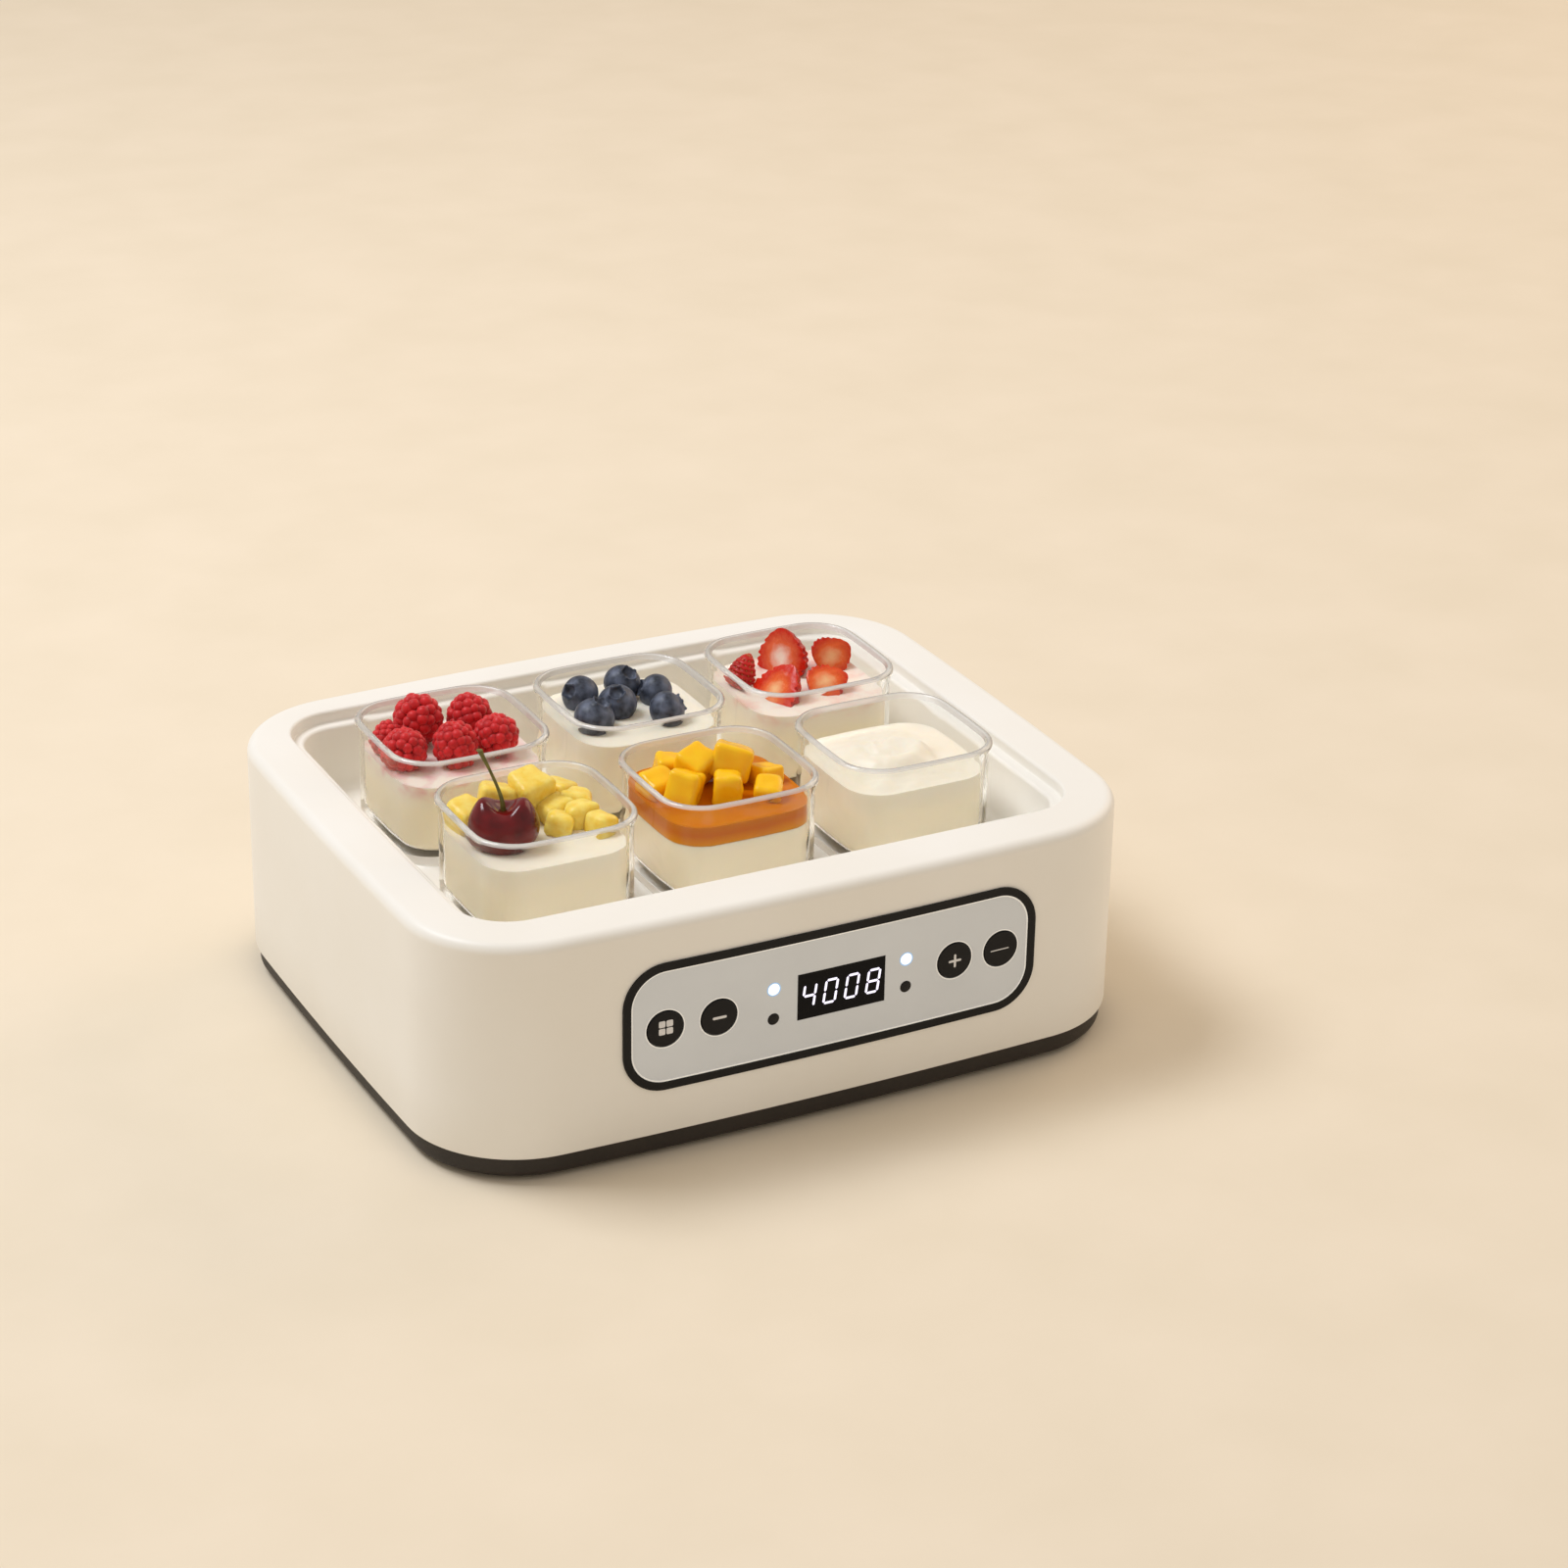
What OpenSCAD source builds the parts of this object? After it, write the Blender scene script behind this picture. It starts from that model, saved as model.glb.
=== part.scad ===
// Six-jar yogurt maker: a double-walled housing on a dark base pan, with a heated
// jar well, a front control panel and six squat glass jars of yogurt and fruit.
// X runs along the front, Y to the back, Z up. The origin is the middle of the footprint.

/* [Housing] */
// Width of the housing at its middle
body_w = 280; // [260:1:320]
// Depth of the housing at its middle
body_d = 231; // [215:1:260]
// Height of the rim above the table
rim_z = 92.5; // [85:0.5:110]
// Bulge of the front and back walls
front_bow = 4.1; // [1:0.1:6]
// Bulge of the two side walls
side_bow = 2.3; // [1:0.1:5]
// Radius of the upright corners
corner_r = 42.4; // [34:0.2:50]
// Thickness of the moulded wall
wall = 3; // [2.4:0.1:3.6]
// Radius of the soft outer edge of the rim
rim_round = 4; // [2:0.5:6]

/* [Jar well] */
// Width between the inner edges of the rim
well_w = 240.2; // [226:0.2:250]
// Depth between the inner edges of the rim
well_d = 192.6; // [184:0.2:196]
// How far the well sits behind the middle of the housing
well_back = 3.4; // [0:0.2:5]
// Height of the well's floor above the table
floor_z = 63; // [58:0.5:68]
// Depth of the step that carries the lid
ledge_drop = 4.7; // [3:0.1:7]

/* [Base] */
// Lower edge of the cream housing
skirt_z = 9.7; // [7:0.1:12]
// Height of the rubber feet under the base pan
foot_h = 1.5; // [1:0.1:3]
// Inset of the base pan from the housing
pan_inset = 1.6; // [0.8:0.1:3]

/* [Control panel] */
// Middle of the panel along the front
panel_x = 6; // [-10:0.5:10]
// Height of the panel's middle
panel_z = 52.1; // [48:0.1:54]
// Width of the panel's frame
panel_w = 164; // [156:1:170]
// Height of the panel's frame
panel_h = 49.4; // [46:0.2:52]
// Corner radius of the panel's frame
panel_r = 16.1; // [12:0.1:20]
// Visible width of the frame round the fascia
bezel_w = 3; // [2:0.1:4]
// Diameter of the push buttons
button_d = 14; // [12:0.2:15]
// Travel of the push buttons
button_travel = 0.5; // [0.3:0.1:0.5]

/* [Jars] */
// Distance between jars along the row
pitch_x = 72.3; // [70:0.1:76]
// Distance between the two rows
pitch_y = 75.8; // [72:0.1:80]
// Width of a jar's body
jar_w = 61; // [56:0.2:62]
// Height of a jar
jar_h = 43; // [38:0.5:60]
// Corner radius of a jar's body
jar_r = 20; // [15:0.5:24]
// Thickness of a jar's wall
glass_t = 2.6; // [2:0.1:3.2]
// How far the mouth's bead stands out
bead = 1.3; // [0.8:0.1:1.6]

/* [Hidden] */

// Facets round a small hole, a turned form and a long shallow arc
fn_hole = 32;
fn_turn = 48;
fn_bow = 720;
bow_steps = 2;
body_steps = 8;
jar_steps = 6;

// An outline is [half width, half depth, front bow, side bow, corner radius]
body = [body_w/2, body_d/2, front_bow, side_bow, corner_r];
well = [well_w/2, well_d/2, 0.6, 0.6, 20];
jar = [jar_w/2, jar_w/2, 1.2, 1.2, jar_r];

// Radius of an arc with half chord h and rise s
function bow_r(h, s) = (h*h + s*s)/(2*s);
// Points on an arc about [cx, cy] from angle a0 to a1 in n steps
function arc(cx, cy, r, a0, a1, n) =
    [for (i = [0:n]) [cx + r*cos(a0 + (a1 - a0)*i/n), cy + r*sin(a0 + (a1 - a0)*i/n)]];
// Centre of the corner arc that touches both the bowed back and the bowed side
function corner(o) =
    let (rf = bow_r(o[0], o[2]), rs = bow_r(o[1], o[3]))
    let (cf = [0, o[1] - rf], cs = [o[0] - rs, 0], d = norm(cs - cf), e = (cs - cf)/d)
    let (m = (d*d + pow(rf - o[4], 2) - pow(rs - o[4], 2))/(2*d))
    let (h = sqrt(pow(rf - o[4], 2) - m*m))
    cf + e*m + [e[1], -e[0]]*h;

// Points along a whole bowed outline, stepped out by off, with k facets to each corner
function outline(o, off, k) =
    let (rf = bow_r(o[0], o[2]), rs = bow_r(o[1], o[3]), c = corner(o), b = bow_steps)
    let (af = atan2(c[1] - o[1] + rf, c[0]))
    let (as = atan2(c[1], c[0] - o[0] + rs))
    let (q = concat([for (i = [0:b]) [o[0] - rs + (rs + off)*cos(as*i/b), (rs + off)*sin(as*i/b)]],
        [for (i = [1:k]) c + (o[4] + off)*[cos(as + (af - as)*i/k), sin(as + (af - as)*i/k)]],
        [for (i = [1:b]) [(rf + off)*cos(af + (90 - af)*i/b),
            o[1] - rf + (rf + off)*sin(af + (90 - af)*i/b)]]))
    let (n = len(q))
    concat(q, [for (i = [n - 2:-1:0]) [-q[i][0], q[i][1]]], [for (i = [1:n - 1]) [-q[i][0], -q[i][1]]],
        [for (i = [n - 2:-1:1]) [q[i][0], -q[i][1]]]);
// One ring of outline o at each [offset, height] of edge, moved back by dy
function rings(o, edge, k, dy = 0) =
    [for (e = edge) [for (p = outline(o, e[0], k)) [p[0], p[1] + dy, e[1]]]];
function reversed(e) = [for (i = [len(e) - 1:-1:0]) e[i]];

// Closed solid skinned over a list of rings, from its first ring up to its last
module skin(loops) {
    n = len(loops[0]);
    top = len(loops) - 1;
    polyhedron(points = [for (ring = loops) each ring], faces = concat([[for (k = [0:n - 1]) k]],
        [for (i = [0:top - 1]) for (k = [0:n - 1])
            [i*n + k, (i + 1)*n + k, (i + 1)*n + (k + 1) % n, i*n + (k + 1) % n]],
        [[for (k = [n - 1:-1:0]) top*n + k]]), convexity = 6);
}

// ---------------------------------------------------------------- housing
well_floor_off = -6.8;
well_lip_off = -4.7;
floor_t = 2.6;
boss_x = 106;
boss_y = 74;
boss_r = 4.5;
pan_floor_z = foot_h + 2.5;

// Edge of the well from its floor up to the rim, as [offset, height]
well_edge = concat(
    arc(well_floor_off - 5, floor_z + 5, 5, -90, 0, 3),
    arc(well_lip_off + 1.6, rim_z - ledge_drop - 1.6, 1.6, 180, 90, 2),
    arc(-0.8, rim_z - ledge_drop + 0.8, 0.8, -90, 0, 1),
    arc(1.2, rim_z - 1.2, 1.2, 180, 90, 2));

// One wall of even thickness: under the well floor, up behind the well, across below the rim,
// down inside the skirt, up the outside, over the rim and down into the well
module shell() {
    under = [[well_floor_off + floor_t - 2, floor_z - floor_t], [well_floor_off + floor_t, floor_z],
        [well_floor_off + floor_t, rim_z - ledge_drop - 1.6 - floor_t],
        [well_lip_off + floor_t, rim_z - ledge_drop - floor_t], [floor_t, rim_z - ledge_drop - floor_t],
        [floor_t, rim_z - wall]];
    outside = concat([[-wall, rim_z - wall], [-wall, skirt_z], [-0.7, skirt_z], [0, skirt_z + 1]],
        arc(-rim_round, rim_z - rim_round, rim_round, 0, 90, 6));
    skin(concat(rings(well, under, body_steps, well_back), rings(body, outside, body_steps),
        rings(well, reversed(well_edge), body_steps, well_back)));
}

module bosses() {
    for (x = [-boss_x, 0, boss_x])
        for (y = [-boss_y, boss_y])
            translate([x, y, pan_floor_z])
                difference() {
                    cylinder(r = boss_r, h = floor_z - floor_t - pan_floor_z + 0.5, $fn = fn_hole);
                    translate([0, 0, -1])
                        cylinder(r = 1.25, h = 14, $fn = fn_hole);
                }
}

module housing() {
    color("#ece6da") {
        difference() {
            shell();
            panel_prism(0.15, -1.5, 4);
            panel_prism(-4, -wall - 2, 4);
            bush_bore(bush_r + 0.1);
            spreader_holes(1.35, spread_z - 1, 2.6);
        }
        bosses();
    }
}

// ---------------------------------------------------------------- base
foot_x = 97;
foot_y = 87;
foot_r = 9.8;
bush_x = 84;
bush_z = 27;
bush_r = 6;
bush_bore_r = 3.6;
proud = 0.8;

// Dish with a rounded lower edge and a tongue that stands inside the housing's skirt
module pan_body() {
    edge = concat(arc(-pan_inset - 3, foot_h + 3, 3, -90, 0, 3),
        [[-pan_inset, skirt_z - 0.4], [-wall - 0.3, skirt_z - 0.4], [-wall - 0.3, skirt_z + 5],
        [-wall - 2.3, skirt_z + 5], [-wall - 2.3, pan_floor_z]]);
    skin(rings(body, edge, body_steps));
}

module vent_slots() {
    for (side = [-1, 1])
        for (i = [0:6])
            translate([side*52 + (i - 3)*9, 0, 0]) {
                translate([-1.5, -16, 0])
                    cube([3, 32, 8]);
                for (e = [-16, 16])
                    translate([0, e, 0])
                        cylinder(r = 1.5, h = 8, $fn = fn_hole);
            }
}

module base_pan() {
    color("#2b2421")
        difference() {
            union() {
                pan_body();
                for (p = board_posts)
                    translate([p[0], p[1], pan_floor_z - 0.5])
                        cylinder(r = 3.4, h = board_z - pan_floor_z + 0.5, $fn = fn_hole);
            }
            for (x = [-boss_x, 0, boss_x])
                for (y = [-boss_y, boss_y])
                    translate([x, y, 0]) {
                        cylinder(r = 1.7, h = 9, $fn = fn_hole);
                        cylinder(r = 3.4, h = foot_h + 1.2, $fn = fn_hole);
                    }
            for (x = [-foot_x, foot_x])
                for (y = [-foot_y, foot_y])
                    translate([x, y, foot_h - 1])
                        cylinder(r = foot_r + 0.2, h = 1.8, $fn = fn_hole);
            for (p = board_posts)
                translate([p[0], p[1], pan_floor_z])
                    cylinder(r = 1.1, h = 30, $fn = fn_hole);
            vent_slots();
        }
}

module rubber_feet() {
    color("#1d1b1a")
        for (x = [-foot_x, foot_x])
            for (y = [-foot_y, foot_y])
                translate([x, y, 0])
                    rotate_extrude($fn = fn_turn)
                        polygon([[0, 0.4], [foot_r - 4, 0.4], [foot_r - 3, 0], [foot_r - 1, 0],
                            [foot_r, 0.6], [foot_r, foot_h + 0.8], [0, foot_h + 0.8]]);
}

// Pan-head screw, its head at the bottom and its thread pointing up
module screw(head_r, head_h, thread_r, len) {
    difference() {
        union() {
            cylinder(r = head_r, h = head_h, $fn = fn_hole);
            cylinder(r = thread_r, h = head_h + len, $fn = fn_hole);
        }
        for (a = [0, 90])
            rotate([0, 0, a])
                translate([-head_r*0.55, -0.35, -1])
                    cube([head_r*1.1, 0.7, 1 + head_h*0.5]);
    }
}

module base_screws() {
    color("silver")
        for (x = [-boss_x, 0, boss_x])
            for (y = [-boss_y, boss_y])
                translate([x, y, foot_h + 0.2])
                    screw(2.9, 1, 1.2, 12);
}

// ---------------------------------------------------------------- heating
spread_z = floor_z - floor_t;
spread_t = 1.5;
cord_r = 1.6;
cord_z = spread_z - spread_t - cord_r;
run_x = 74;
run_pitch = 20;

module spreader_holes(r, z, h) {
    for (x = [-88, 88])
        for (y = [-56, 56])
            translate([x, y + well_back, z])
                cylinder(r = r, h = h, $fn = fn_hole);
}

module heat_spreader() {
    color("#c9ccce")
        difference() {
            translate([-94, well_back - 62, spread_z - spread_t])
                cube([188, 124, spread_t]);
            spreader_holes(1.7, spread_z - 4, 6);
        }
}

module spreader_screws() {
    color("silver")
        for (x = [-88, 88])
            for (y = [-56, 56])
                translate([x, y + well_back, spread_z - spread_t - 1.2])
                    screw(2.8, 1.2, 1.3, 2.9);
}

module heating_cord() {
    color("#b8552e")
        translate([0, well_back, cord_z]) {
            for (i = [0:5])
                translate([-run_x, (i - 2.5)*run_pitch, 0])
                    rotate([0, 90, 0])
                        cylinder(r = cord_r, h = 2*run_x, $fn = fn_hole);
            for (i = [0:4])
                translate([i % 2 == 0 ? run_x : -run_x, (i - 2)*run_pitch, 0])
                    rotate([0, 0, i % 2 == 0 ? -90 : 90])
                        rotate_extrude(angle = 180, $fn = fn_turn)
                            translate([run_pitch/2, 0])
                                circle(r = cord_r, $fn = fn_hole);
        }
}

module cord_clips() {
    color("#b9bcbf")
        for (x = [-60, 0, 60])
            for (i = [0:5])
                translate([x - 4, (i - 2.5)*run_pitch + well_back - 4, cord_z - cord_r - 0.8])
                    difference() {
                        cube([8, 8, 2*cord_r + 0.8]);
                        translate([-1, 2.4, 0.8])
                            cube([10, 3.2, 2*cord_r]);
                        for (s = [-1, 1])
                            translate([-1, 4 + s*4 - 1.6, -1])
                                cube([10, 3.2, 2*cord_r + 0.8]);
                    }
}

// Spring clip: a channel over the round part that it holds, with a tab each side
module saddle_clip() {
    difference() {
        cube([6, 12, 5]);
        translate([-1, 3.8, 0.8])
            cube([8, 4.4, 6]);
        for (y = [-1, 10])
            translate([-1, y, -1])
                cube([8, 3, 5]);
    }
}

module temperature_sensor() {
    color("#30353a")
        translate([-16, well_back, cord_z - 0.6]) {
            rotate([0, 90, 0])
                cylinder(r = 2, h = 12, $fn = fn_hole);
            sphere(r = 2, $fn = fn_hole);
        }
}

module sensor_clip() {
    color("#b9bcbf")
        translate([-13, well_back - 6, cord_z - 3.4])
            saddle_clip();
}

module thermal_fuse() {
    color("#d8cdb4")
        translate([18, well_back, cord_z - 0.5])
            rotate([0, 90, 0]) {
                cylinder(r = 2.1, h = 11, $fn = fn_hole);
                translate([0, 0, -6])
                    cylinder(r = 0.5, h = 23, $fn = fn_hole);
            }
}

module fuse_clip() {
    color("#b9bcbf")
        translate([20.5, well_back - 6, cord_z - 3.4])
            saddle_clip();
}

// ---------------------------------------------------------------- power board
board_z = 12;
board_t = 1.6;
board_at = [20, 10];
board_size = [84, 50];
board_posts = [for (x = [4, 80]) for (y = [4, 46]) [board_at[0] + x, board_at[1] + y]];
board_top = board_z + board_t;

module power_board() {
    color("#2f6b46")
        difference() {
            translate([board_at[0], board_at[1], board_z])
                cube([board_size[0], board_size[1], board_t]);
            for (p = board_posts)
                translate([p[0], p[1], board_z - 1])
                    cylinder(r = 1.6, h = 4, $fn = fn_hole);
        }
}

module board_screws() {
    color("silver")
        for (p = board_posts)
            translate([p[0], p[1], board_top + 1.2])
                rotate([180, 0, 0])
                    screw(2.6, 1.2, 1, 5);
}

module transformer() {
    translate([board_at[0] + 52, board_at[1] + 14, board_top]) {
        color("#3c3c3f")
            for (s = [0, 1])
                translate([0, s*16, 0])
                    cube([26, 6, 22]);
        color("#d9b23c")
            translate([2, 5, 2])
                cube([22, 12, 18]);
    }
}

module relay() {
    color("#2b6fb3")
        translate([board_at[0] + 26, board_at[1] + 26, board_top])
            difference() {
                cube([19, 15.4, 15]);
                translate([-1, -1, 14.2])
                    cube([2, 2, 2]);
            }
}

module capacitor() {
    color("#27324d")
        translate([board_at[0] + 34, board_at[1] + 12, board_top])
            rotate_extrude($fn = fn_turn)
                polygon([[0, 0], [5, 0], [5, 1.6], [4.7, 2], [5, 2.4], [5, 15.6], [4.6, 16], [0, 16]]);
}

module terminal_block() {
    color("#3f8f54")
        translate([board_at[0] + 10, board_at[1] + 14, board_top])
            difference() {
                cube([10, 22, 10]);
                for (i = [0:3])
                    translate([-1, 3 + i*5.33, 4])
                        rotate([0, 90, 0])
                            cylinder(r = 1.7, h = 7, $fn = fn_hole);
            }
}

// ---------------------------------------------------------------- wiring
// A round lead swept along points with eight sides
function unit(v) = v/norm(v);
function lead_ring(p, d, r) =
    let (u = unit(cross(d, [0.37, 0.21, 0.9])))
    let (v = unit(cross(u, d)))
    [for (a = [0:45:315]) p + r*(cos(a)*u + sin(a)*v)];
function smooth(p, i, t) =
    let (n = len(p) - 1)
    let (a = p[max(i - 1, 0)], b = p[i], c = p[min(i + 1, n)], e = p[min(i + 2, n)])
    0.5*(2*b + (c - a)*t + (2*a - 5*b + 4*c - e)*t*t + (3*b - a - 3*c + e)*t*t*t);
function smooth_path(p, k) =
    concat([for (i = [0:len(p) - 2]) for (j = [0:k - 1]) smooth(p, i, j/k)], [p[len(p) - 1]]);
module lead(points, r) {
    path = smooth_path(points, 3);
    n = len(path) - 1;
    skin([for (i = [0:n]) lead_ring(path[i], unit(path[min(i + 1, n)] - path[max(i - 1, 0)]), r)]);
}

block_x = board_at[0] + 10;
block_y = board_at[1] + 17;

module heater_leads() {
    color("#c23b2a")
        for (i = [0, 1])
            lead([[-run_x - 0.05, (i - 0.5)*5*run_pitch + well_back, cord_z],
                [-run_x - 5, (i - 0.5)*5*run_pitch + well_back, cord_z - 2],
                [-72, (i - 0.5)*54 + 15, 42], [-56, 22 + 12*i, 30], [-20, 18 + 10*i, 20],
                [4, block_y + i*5.33, board_top + 4], [block_x + 4, block_y + i*5.33, board_top + 4]], 1.1);
}

module sensor_leads() {
    color("#e7e2d6")
        for (i = [0, 1])
            lead([[-3.9, well_back - 0.9 + 1.8*i, cord_z - 0.6], [4 + i, well_back - 6 + 2.6*i, cord_z - 3],
                [9 + 3*i, -40, 44], [10 + 3*i, -78, 40], [12 + 3*i, -92, 38],
                [12 + 3*i, ctrl_y + board_t, 38]], 0.6);
}

ribbon_z = 44;
module ribbon_cable() {
    t = 0.9;
    r = 12;
    y0 = board_at[1] + 6;
    outer = concat([[y0, board_top]], arc(y0 - r, ribbon_z - r, r, 0, 90, 6),
        [[ctrl_y + board_t, ribbon_z]]);
    inner = concat([[ctrl_y + board_t, ribbon_z - t]], arc(y0 - r, ribbon_z - r, r - t, 90, 0, 6),
        [[y0 - t, board_top]]);
    color("#8d9298")
        translate([board_at[0] + 40, 0, 0])
            rotate([90, 0, 90])
                linear_extrude(14)
                    polygon(concat(outer, inner));
}

// Rear bush that lines the hole of the mains lead
module bush_bore(r) {
    translate([bush_x, body_d/2 + 10, bush_z])
        rotate([90, 0, 0])
            cylinder(r = r, h = 30, $fn = fn_turn);
}

module cord_bush() {
    y = -front_y(bush_x);
    color("#23201f")
        translate([bush_x, y - wall - 2.5, bush_z])
            rotate([-90, 0, 0])
                rotate_extrude($fn = fn_turn)
                    polygon([[bush_bore_r, 0], [bush_r + 1.6, 0], [bush_r + 1.6, 1.8], [bush_r, 2.3],
                        [bush_r, wall + 3], [bush_r + 2, wall + 3.2], [bush_r + 1.8, bush_end - 0.4],
                        [bush_r + 1.2, bush_end], [bush_bore_r, bush_end]]);
}

// ---------------------------------------------------------------- panel
body_rf = bow_r(body_w/2, front_bow);
// Front surface of the housing at x
function front_y(x) = -body_d/2 + body_rf - sqrt(body_rf*body_rf - x*x);
bush_end = wall + 2.5 + proud + body_d/2 + front_y(bush_x);

// Rounded panel outline, grown by g
module panel_outline(g) {
    w = panel_w/2 + g;
    h = panel_h/2 + g;
    r = panel_r + g;
    square([2*w, 2*(h - r)], center = true);
    square([2*(w - r), 2*h], center = true);
    for (x = [-w + r, w - r])
        for (y = [-h + r, h - r])
            translate([x, y])
                circle(r = r, $fn = fn_turn);
}

// Skin between depths t0 and t1 outside the bowed front wall, cut to a flat shape
module on_front(t0, t1) {
    intersection() {
        translate([0, -body_d/2 - 10, 0])
            rotate([90, 0, 0])
                mirror([0, 0, 1])
                    linear_extrude(30)
                        children();
        translate([0, -body_d/2 + body_rf, panel_z - panel_h])
            difference() {
                cylinder(r = body_rf + t1, h = 2*panel_h, $fn = fn_bow*4);
                translate([0, 0, -1])
                    cylinder(r = body_rf + t0, h = 2*panel_h + 2, $fn = fn_bow*4);
            }
    }
}

module panel_prism(g, t0, t1) {
    on_front(t0, t1)
        translate([panel_x, panel_z])
            panel_outline(g);
}

button_x = [-60.1, -39.6, 54.3, 73.6];
button_z = [51.3, 51.3, 52.2, 52.3];
led_x = [-18.4, -18.4, 34.4, 34.4];
led_z = [57.3, 45.6, 57.3, 46.3];
lens_r = 2.2;
screen_x = 8.4;
screen_z = 51.8;
screen_w = 34.8;
screen_h = 17.9;
tray_back = -4;
board_front = -13;

module button_holes(r) {
    for (i = [0:3])
        translate([button_x[i], button_z[i]])
            circle(r = r, $fn = fn_turn);
}

module led_holes(r) {
    for (i = [0:3])
        translate([led_x[i], led_z[i]])
            circle(r = r, $fn = fn_hole);
}

module screen_hole(g) {
    translate([screen_x, screen_z])
        square([screen_w + 2*g, screen_h + 2*g], center = true);
}

module panel_bezel() {
    color("#1b1b1c") {
        on_front(-1.5, 0.8)
            translate([panel_x, panel_z])
                difference() {
                    panel_outline(0);
                    panel_outline(-bezel_w);
                }
        on_front(-1.5, -0.9)
            difference() {
                translate([panel_x, panel_z])
                    panel_outline(-1);
                button_holes(button_d/2 + 0.2);
                led_holes(lens_r);
                screen_hole(0.05);
            }
        on_front(tray_back, -1.4)
            difference() {
                translate([panel_x, panel_z])
                    panel_outline(-4.3);
                button_holes(button_d/2 + 0.2);
                led_holes(lens_r);
                screen_hole(-1.2);
            }
        for (p = ctrl_screws)
            translate([p[0], ctrl_y, p[1]])
                rotate([90, 0, 0])
                    difference() {
                        cylinder(r = 2.6, h = ctrl_y - front_y(p[0]) + tray_back + 0.3, $fn = fn_hole);
                        translate([0, 0, -1])
                            cylinder(r = 1.05, h = 8, $fn = fn_hole);
                    }
    }
}

module fascia() {
    color("#b9bdc2")
        on_front(-0.9, 0.35)
            difference() {
                translate([panel_x, panel_z])
                    panel_outline(-bezel_w - 0.05);
                button_holes(button_d/2 + 0.2);
                led_holes(lens_r);
                screen_hole(0.05);
            }
}

module display_window() {
    color("#101014")
        on_front(-1.4, 0.45)
            screen_hole(0);
}

module indicator_lenses() {
    color("#dfe9f5")
        for (i = [0:3])
            translate([led_x[i], front_y(led_x[i]), led_z[i]])
                rotate([90, 0, 0])
                    translate([0, 0, -8.5])
                        rotate_extrude($fn = fn_hole)
                            polygon([[0, 0], [1.6, 0], [1.6, 3.6], [lens_r, 3.8], [lens_r, 8.9],
                                [1.4, 9.15], [0, 9.25]]);
}

ctrl_y = -body_d/2 - board_front;

switch_front = ctrl_y - 4.1;

// Cap, retaining flange and plunger of one push button
module button(i) {
    r = button_d/2;
    tip = front_y(button_x[i]) - (switch_front - button_travel - 0.35);
    color("#202022")
        translate([button_x[i], front_y(button_x[i]), button_z[i]])
            rotate([90, 0, 0])
                rotate_extrude($fn = fn_turn)
                    polygon([[0, tip], [2, tip], [2, -5.6], [r + 1.2, -5.6], [r + 1.2, tray_back - 0.6],
                        [r - 0.15, tray_back - 0.6], [r - 0.15, 0.5], [r - 0.4, 0.8], [0, 0.95]]);
}

module function_button() { button(0); }
module minus_button() { button(1); }
module plus_button() { button(2); }
module confirm_button() { button(3); }

ctrl_w = 152;
ctrl_h = 32;
ctrl_screws = [for (x = [-68, 68]) for (z = [-13, 13]) [panel_x + x, panel_z + z]];

// A block on the control board: centre [x, z], size [w, h], reaching t towards the front
module on_board(x, z, w, h, t) {
    translate([x - w/2, ctrl_y - t, z - h/2])
        cube([w, t, h]);
}

module control_board() {
    color("#1f5c3d")
        difference() {
            translate([panel_x - ctrl_w/2, ctrl_y, panel_z - ctrl_h/2])
                cube([ctrl_w, board_t, ctrl_h]);
            for (p = ctrl_screws)
                translate([p[0], ctrl_y + 4, p[1]])
                    rotate([90, 0, 0])
                        cylinder(r = 1.5, h = 8, $fn = fn_hole);
        }
}

module control_screws() {
    color("silver")
        for (p = ctrl_screws)
            translate([p[0], ctrl_y + board_t + 1.2, p[1]])
                rotate([90, 0, 0])
                    screw(2.4, 1.2, 1, 7);
}

module display_module() {
    color("#e9e9e6")
        difference() {
            on_board(screen_x, screen_z, screen_w - 3, screen_h - 3, 8);
            for (i = [0:3])
                translate([screen_x + (i - 1.5)*7.6 - 2.4, ctrl_y - 9, screen_z - 4.6])
                    cube([4.8, 1.6, 9.2]);
        }
}

module tact_switches() {
    color("#c8c8c4")
        for (i = [0:3]) {
            on_board(button_x[i], button_z[i], 6, 6, 3.4);
            translate([button_x[i], ctrl_y - 3, button_z[i]])
                rotate([90, 0, 0])
                    cylinder(r = 1.7, h = 1.1, $fn = fn_hole);
        }
}

module indicator_leds() {
    color("#f4f8ff")
        for (i = [0:3])
            on_board(led_x[i], led_z[i], 3, 2, 1.6);
}

module control_chip() {
    color("#222226")
        translate([panel_x + 22, ctrl_y + board_t, panel_z - 5])
            difference() {
                cube([13, 2, 8]);
                translate([1.6, 2.4, 4])
                    rotate([90, 0, 0])
                        cylinder(r = 0.8, h = 1, $fn = fn_hole);
            }
}

module buzzer() {
    color("#18181a")
        translate([panel_x - 30, ctrl_y + board_t, panel_z - 2])
            rotate([-90, 0, 0])
                rotate_extrude($fn = fn_turn)
                    polygon([[0, 0], [6, 0], [6, 5.6], [5.6, 6], [1.2, 6], [1.2, 5], [0, 5]]);
}

// ---------------------------------------------------------------- jars
jar_floor = 4.5;
// Column (-1, 0, 1) and row (-1 front, 1 back) of a jar to its place
module at_jar(col, row) {
    translate([col*pitch_x, well_back + row*pitch_y/2, floor_z])
        children();
}

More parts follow.
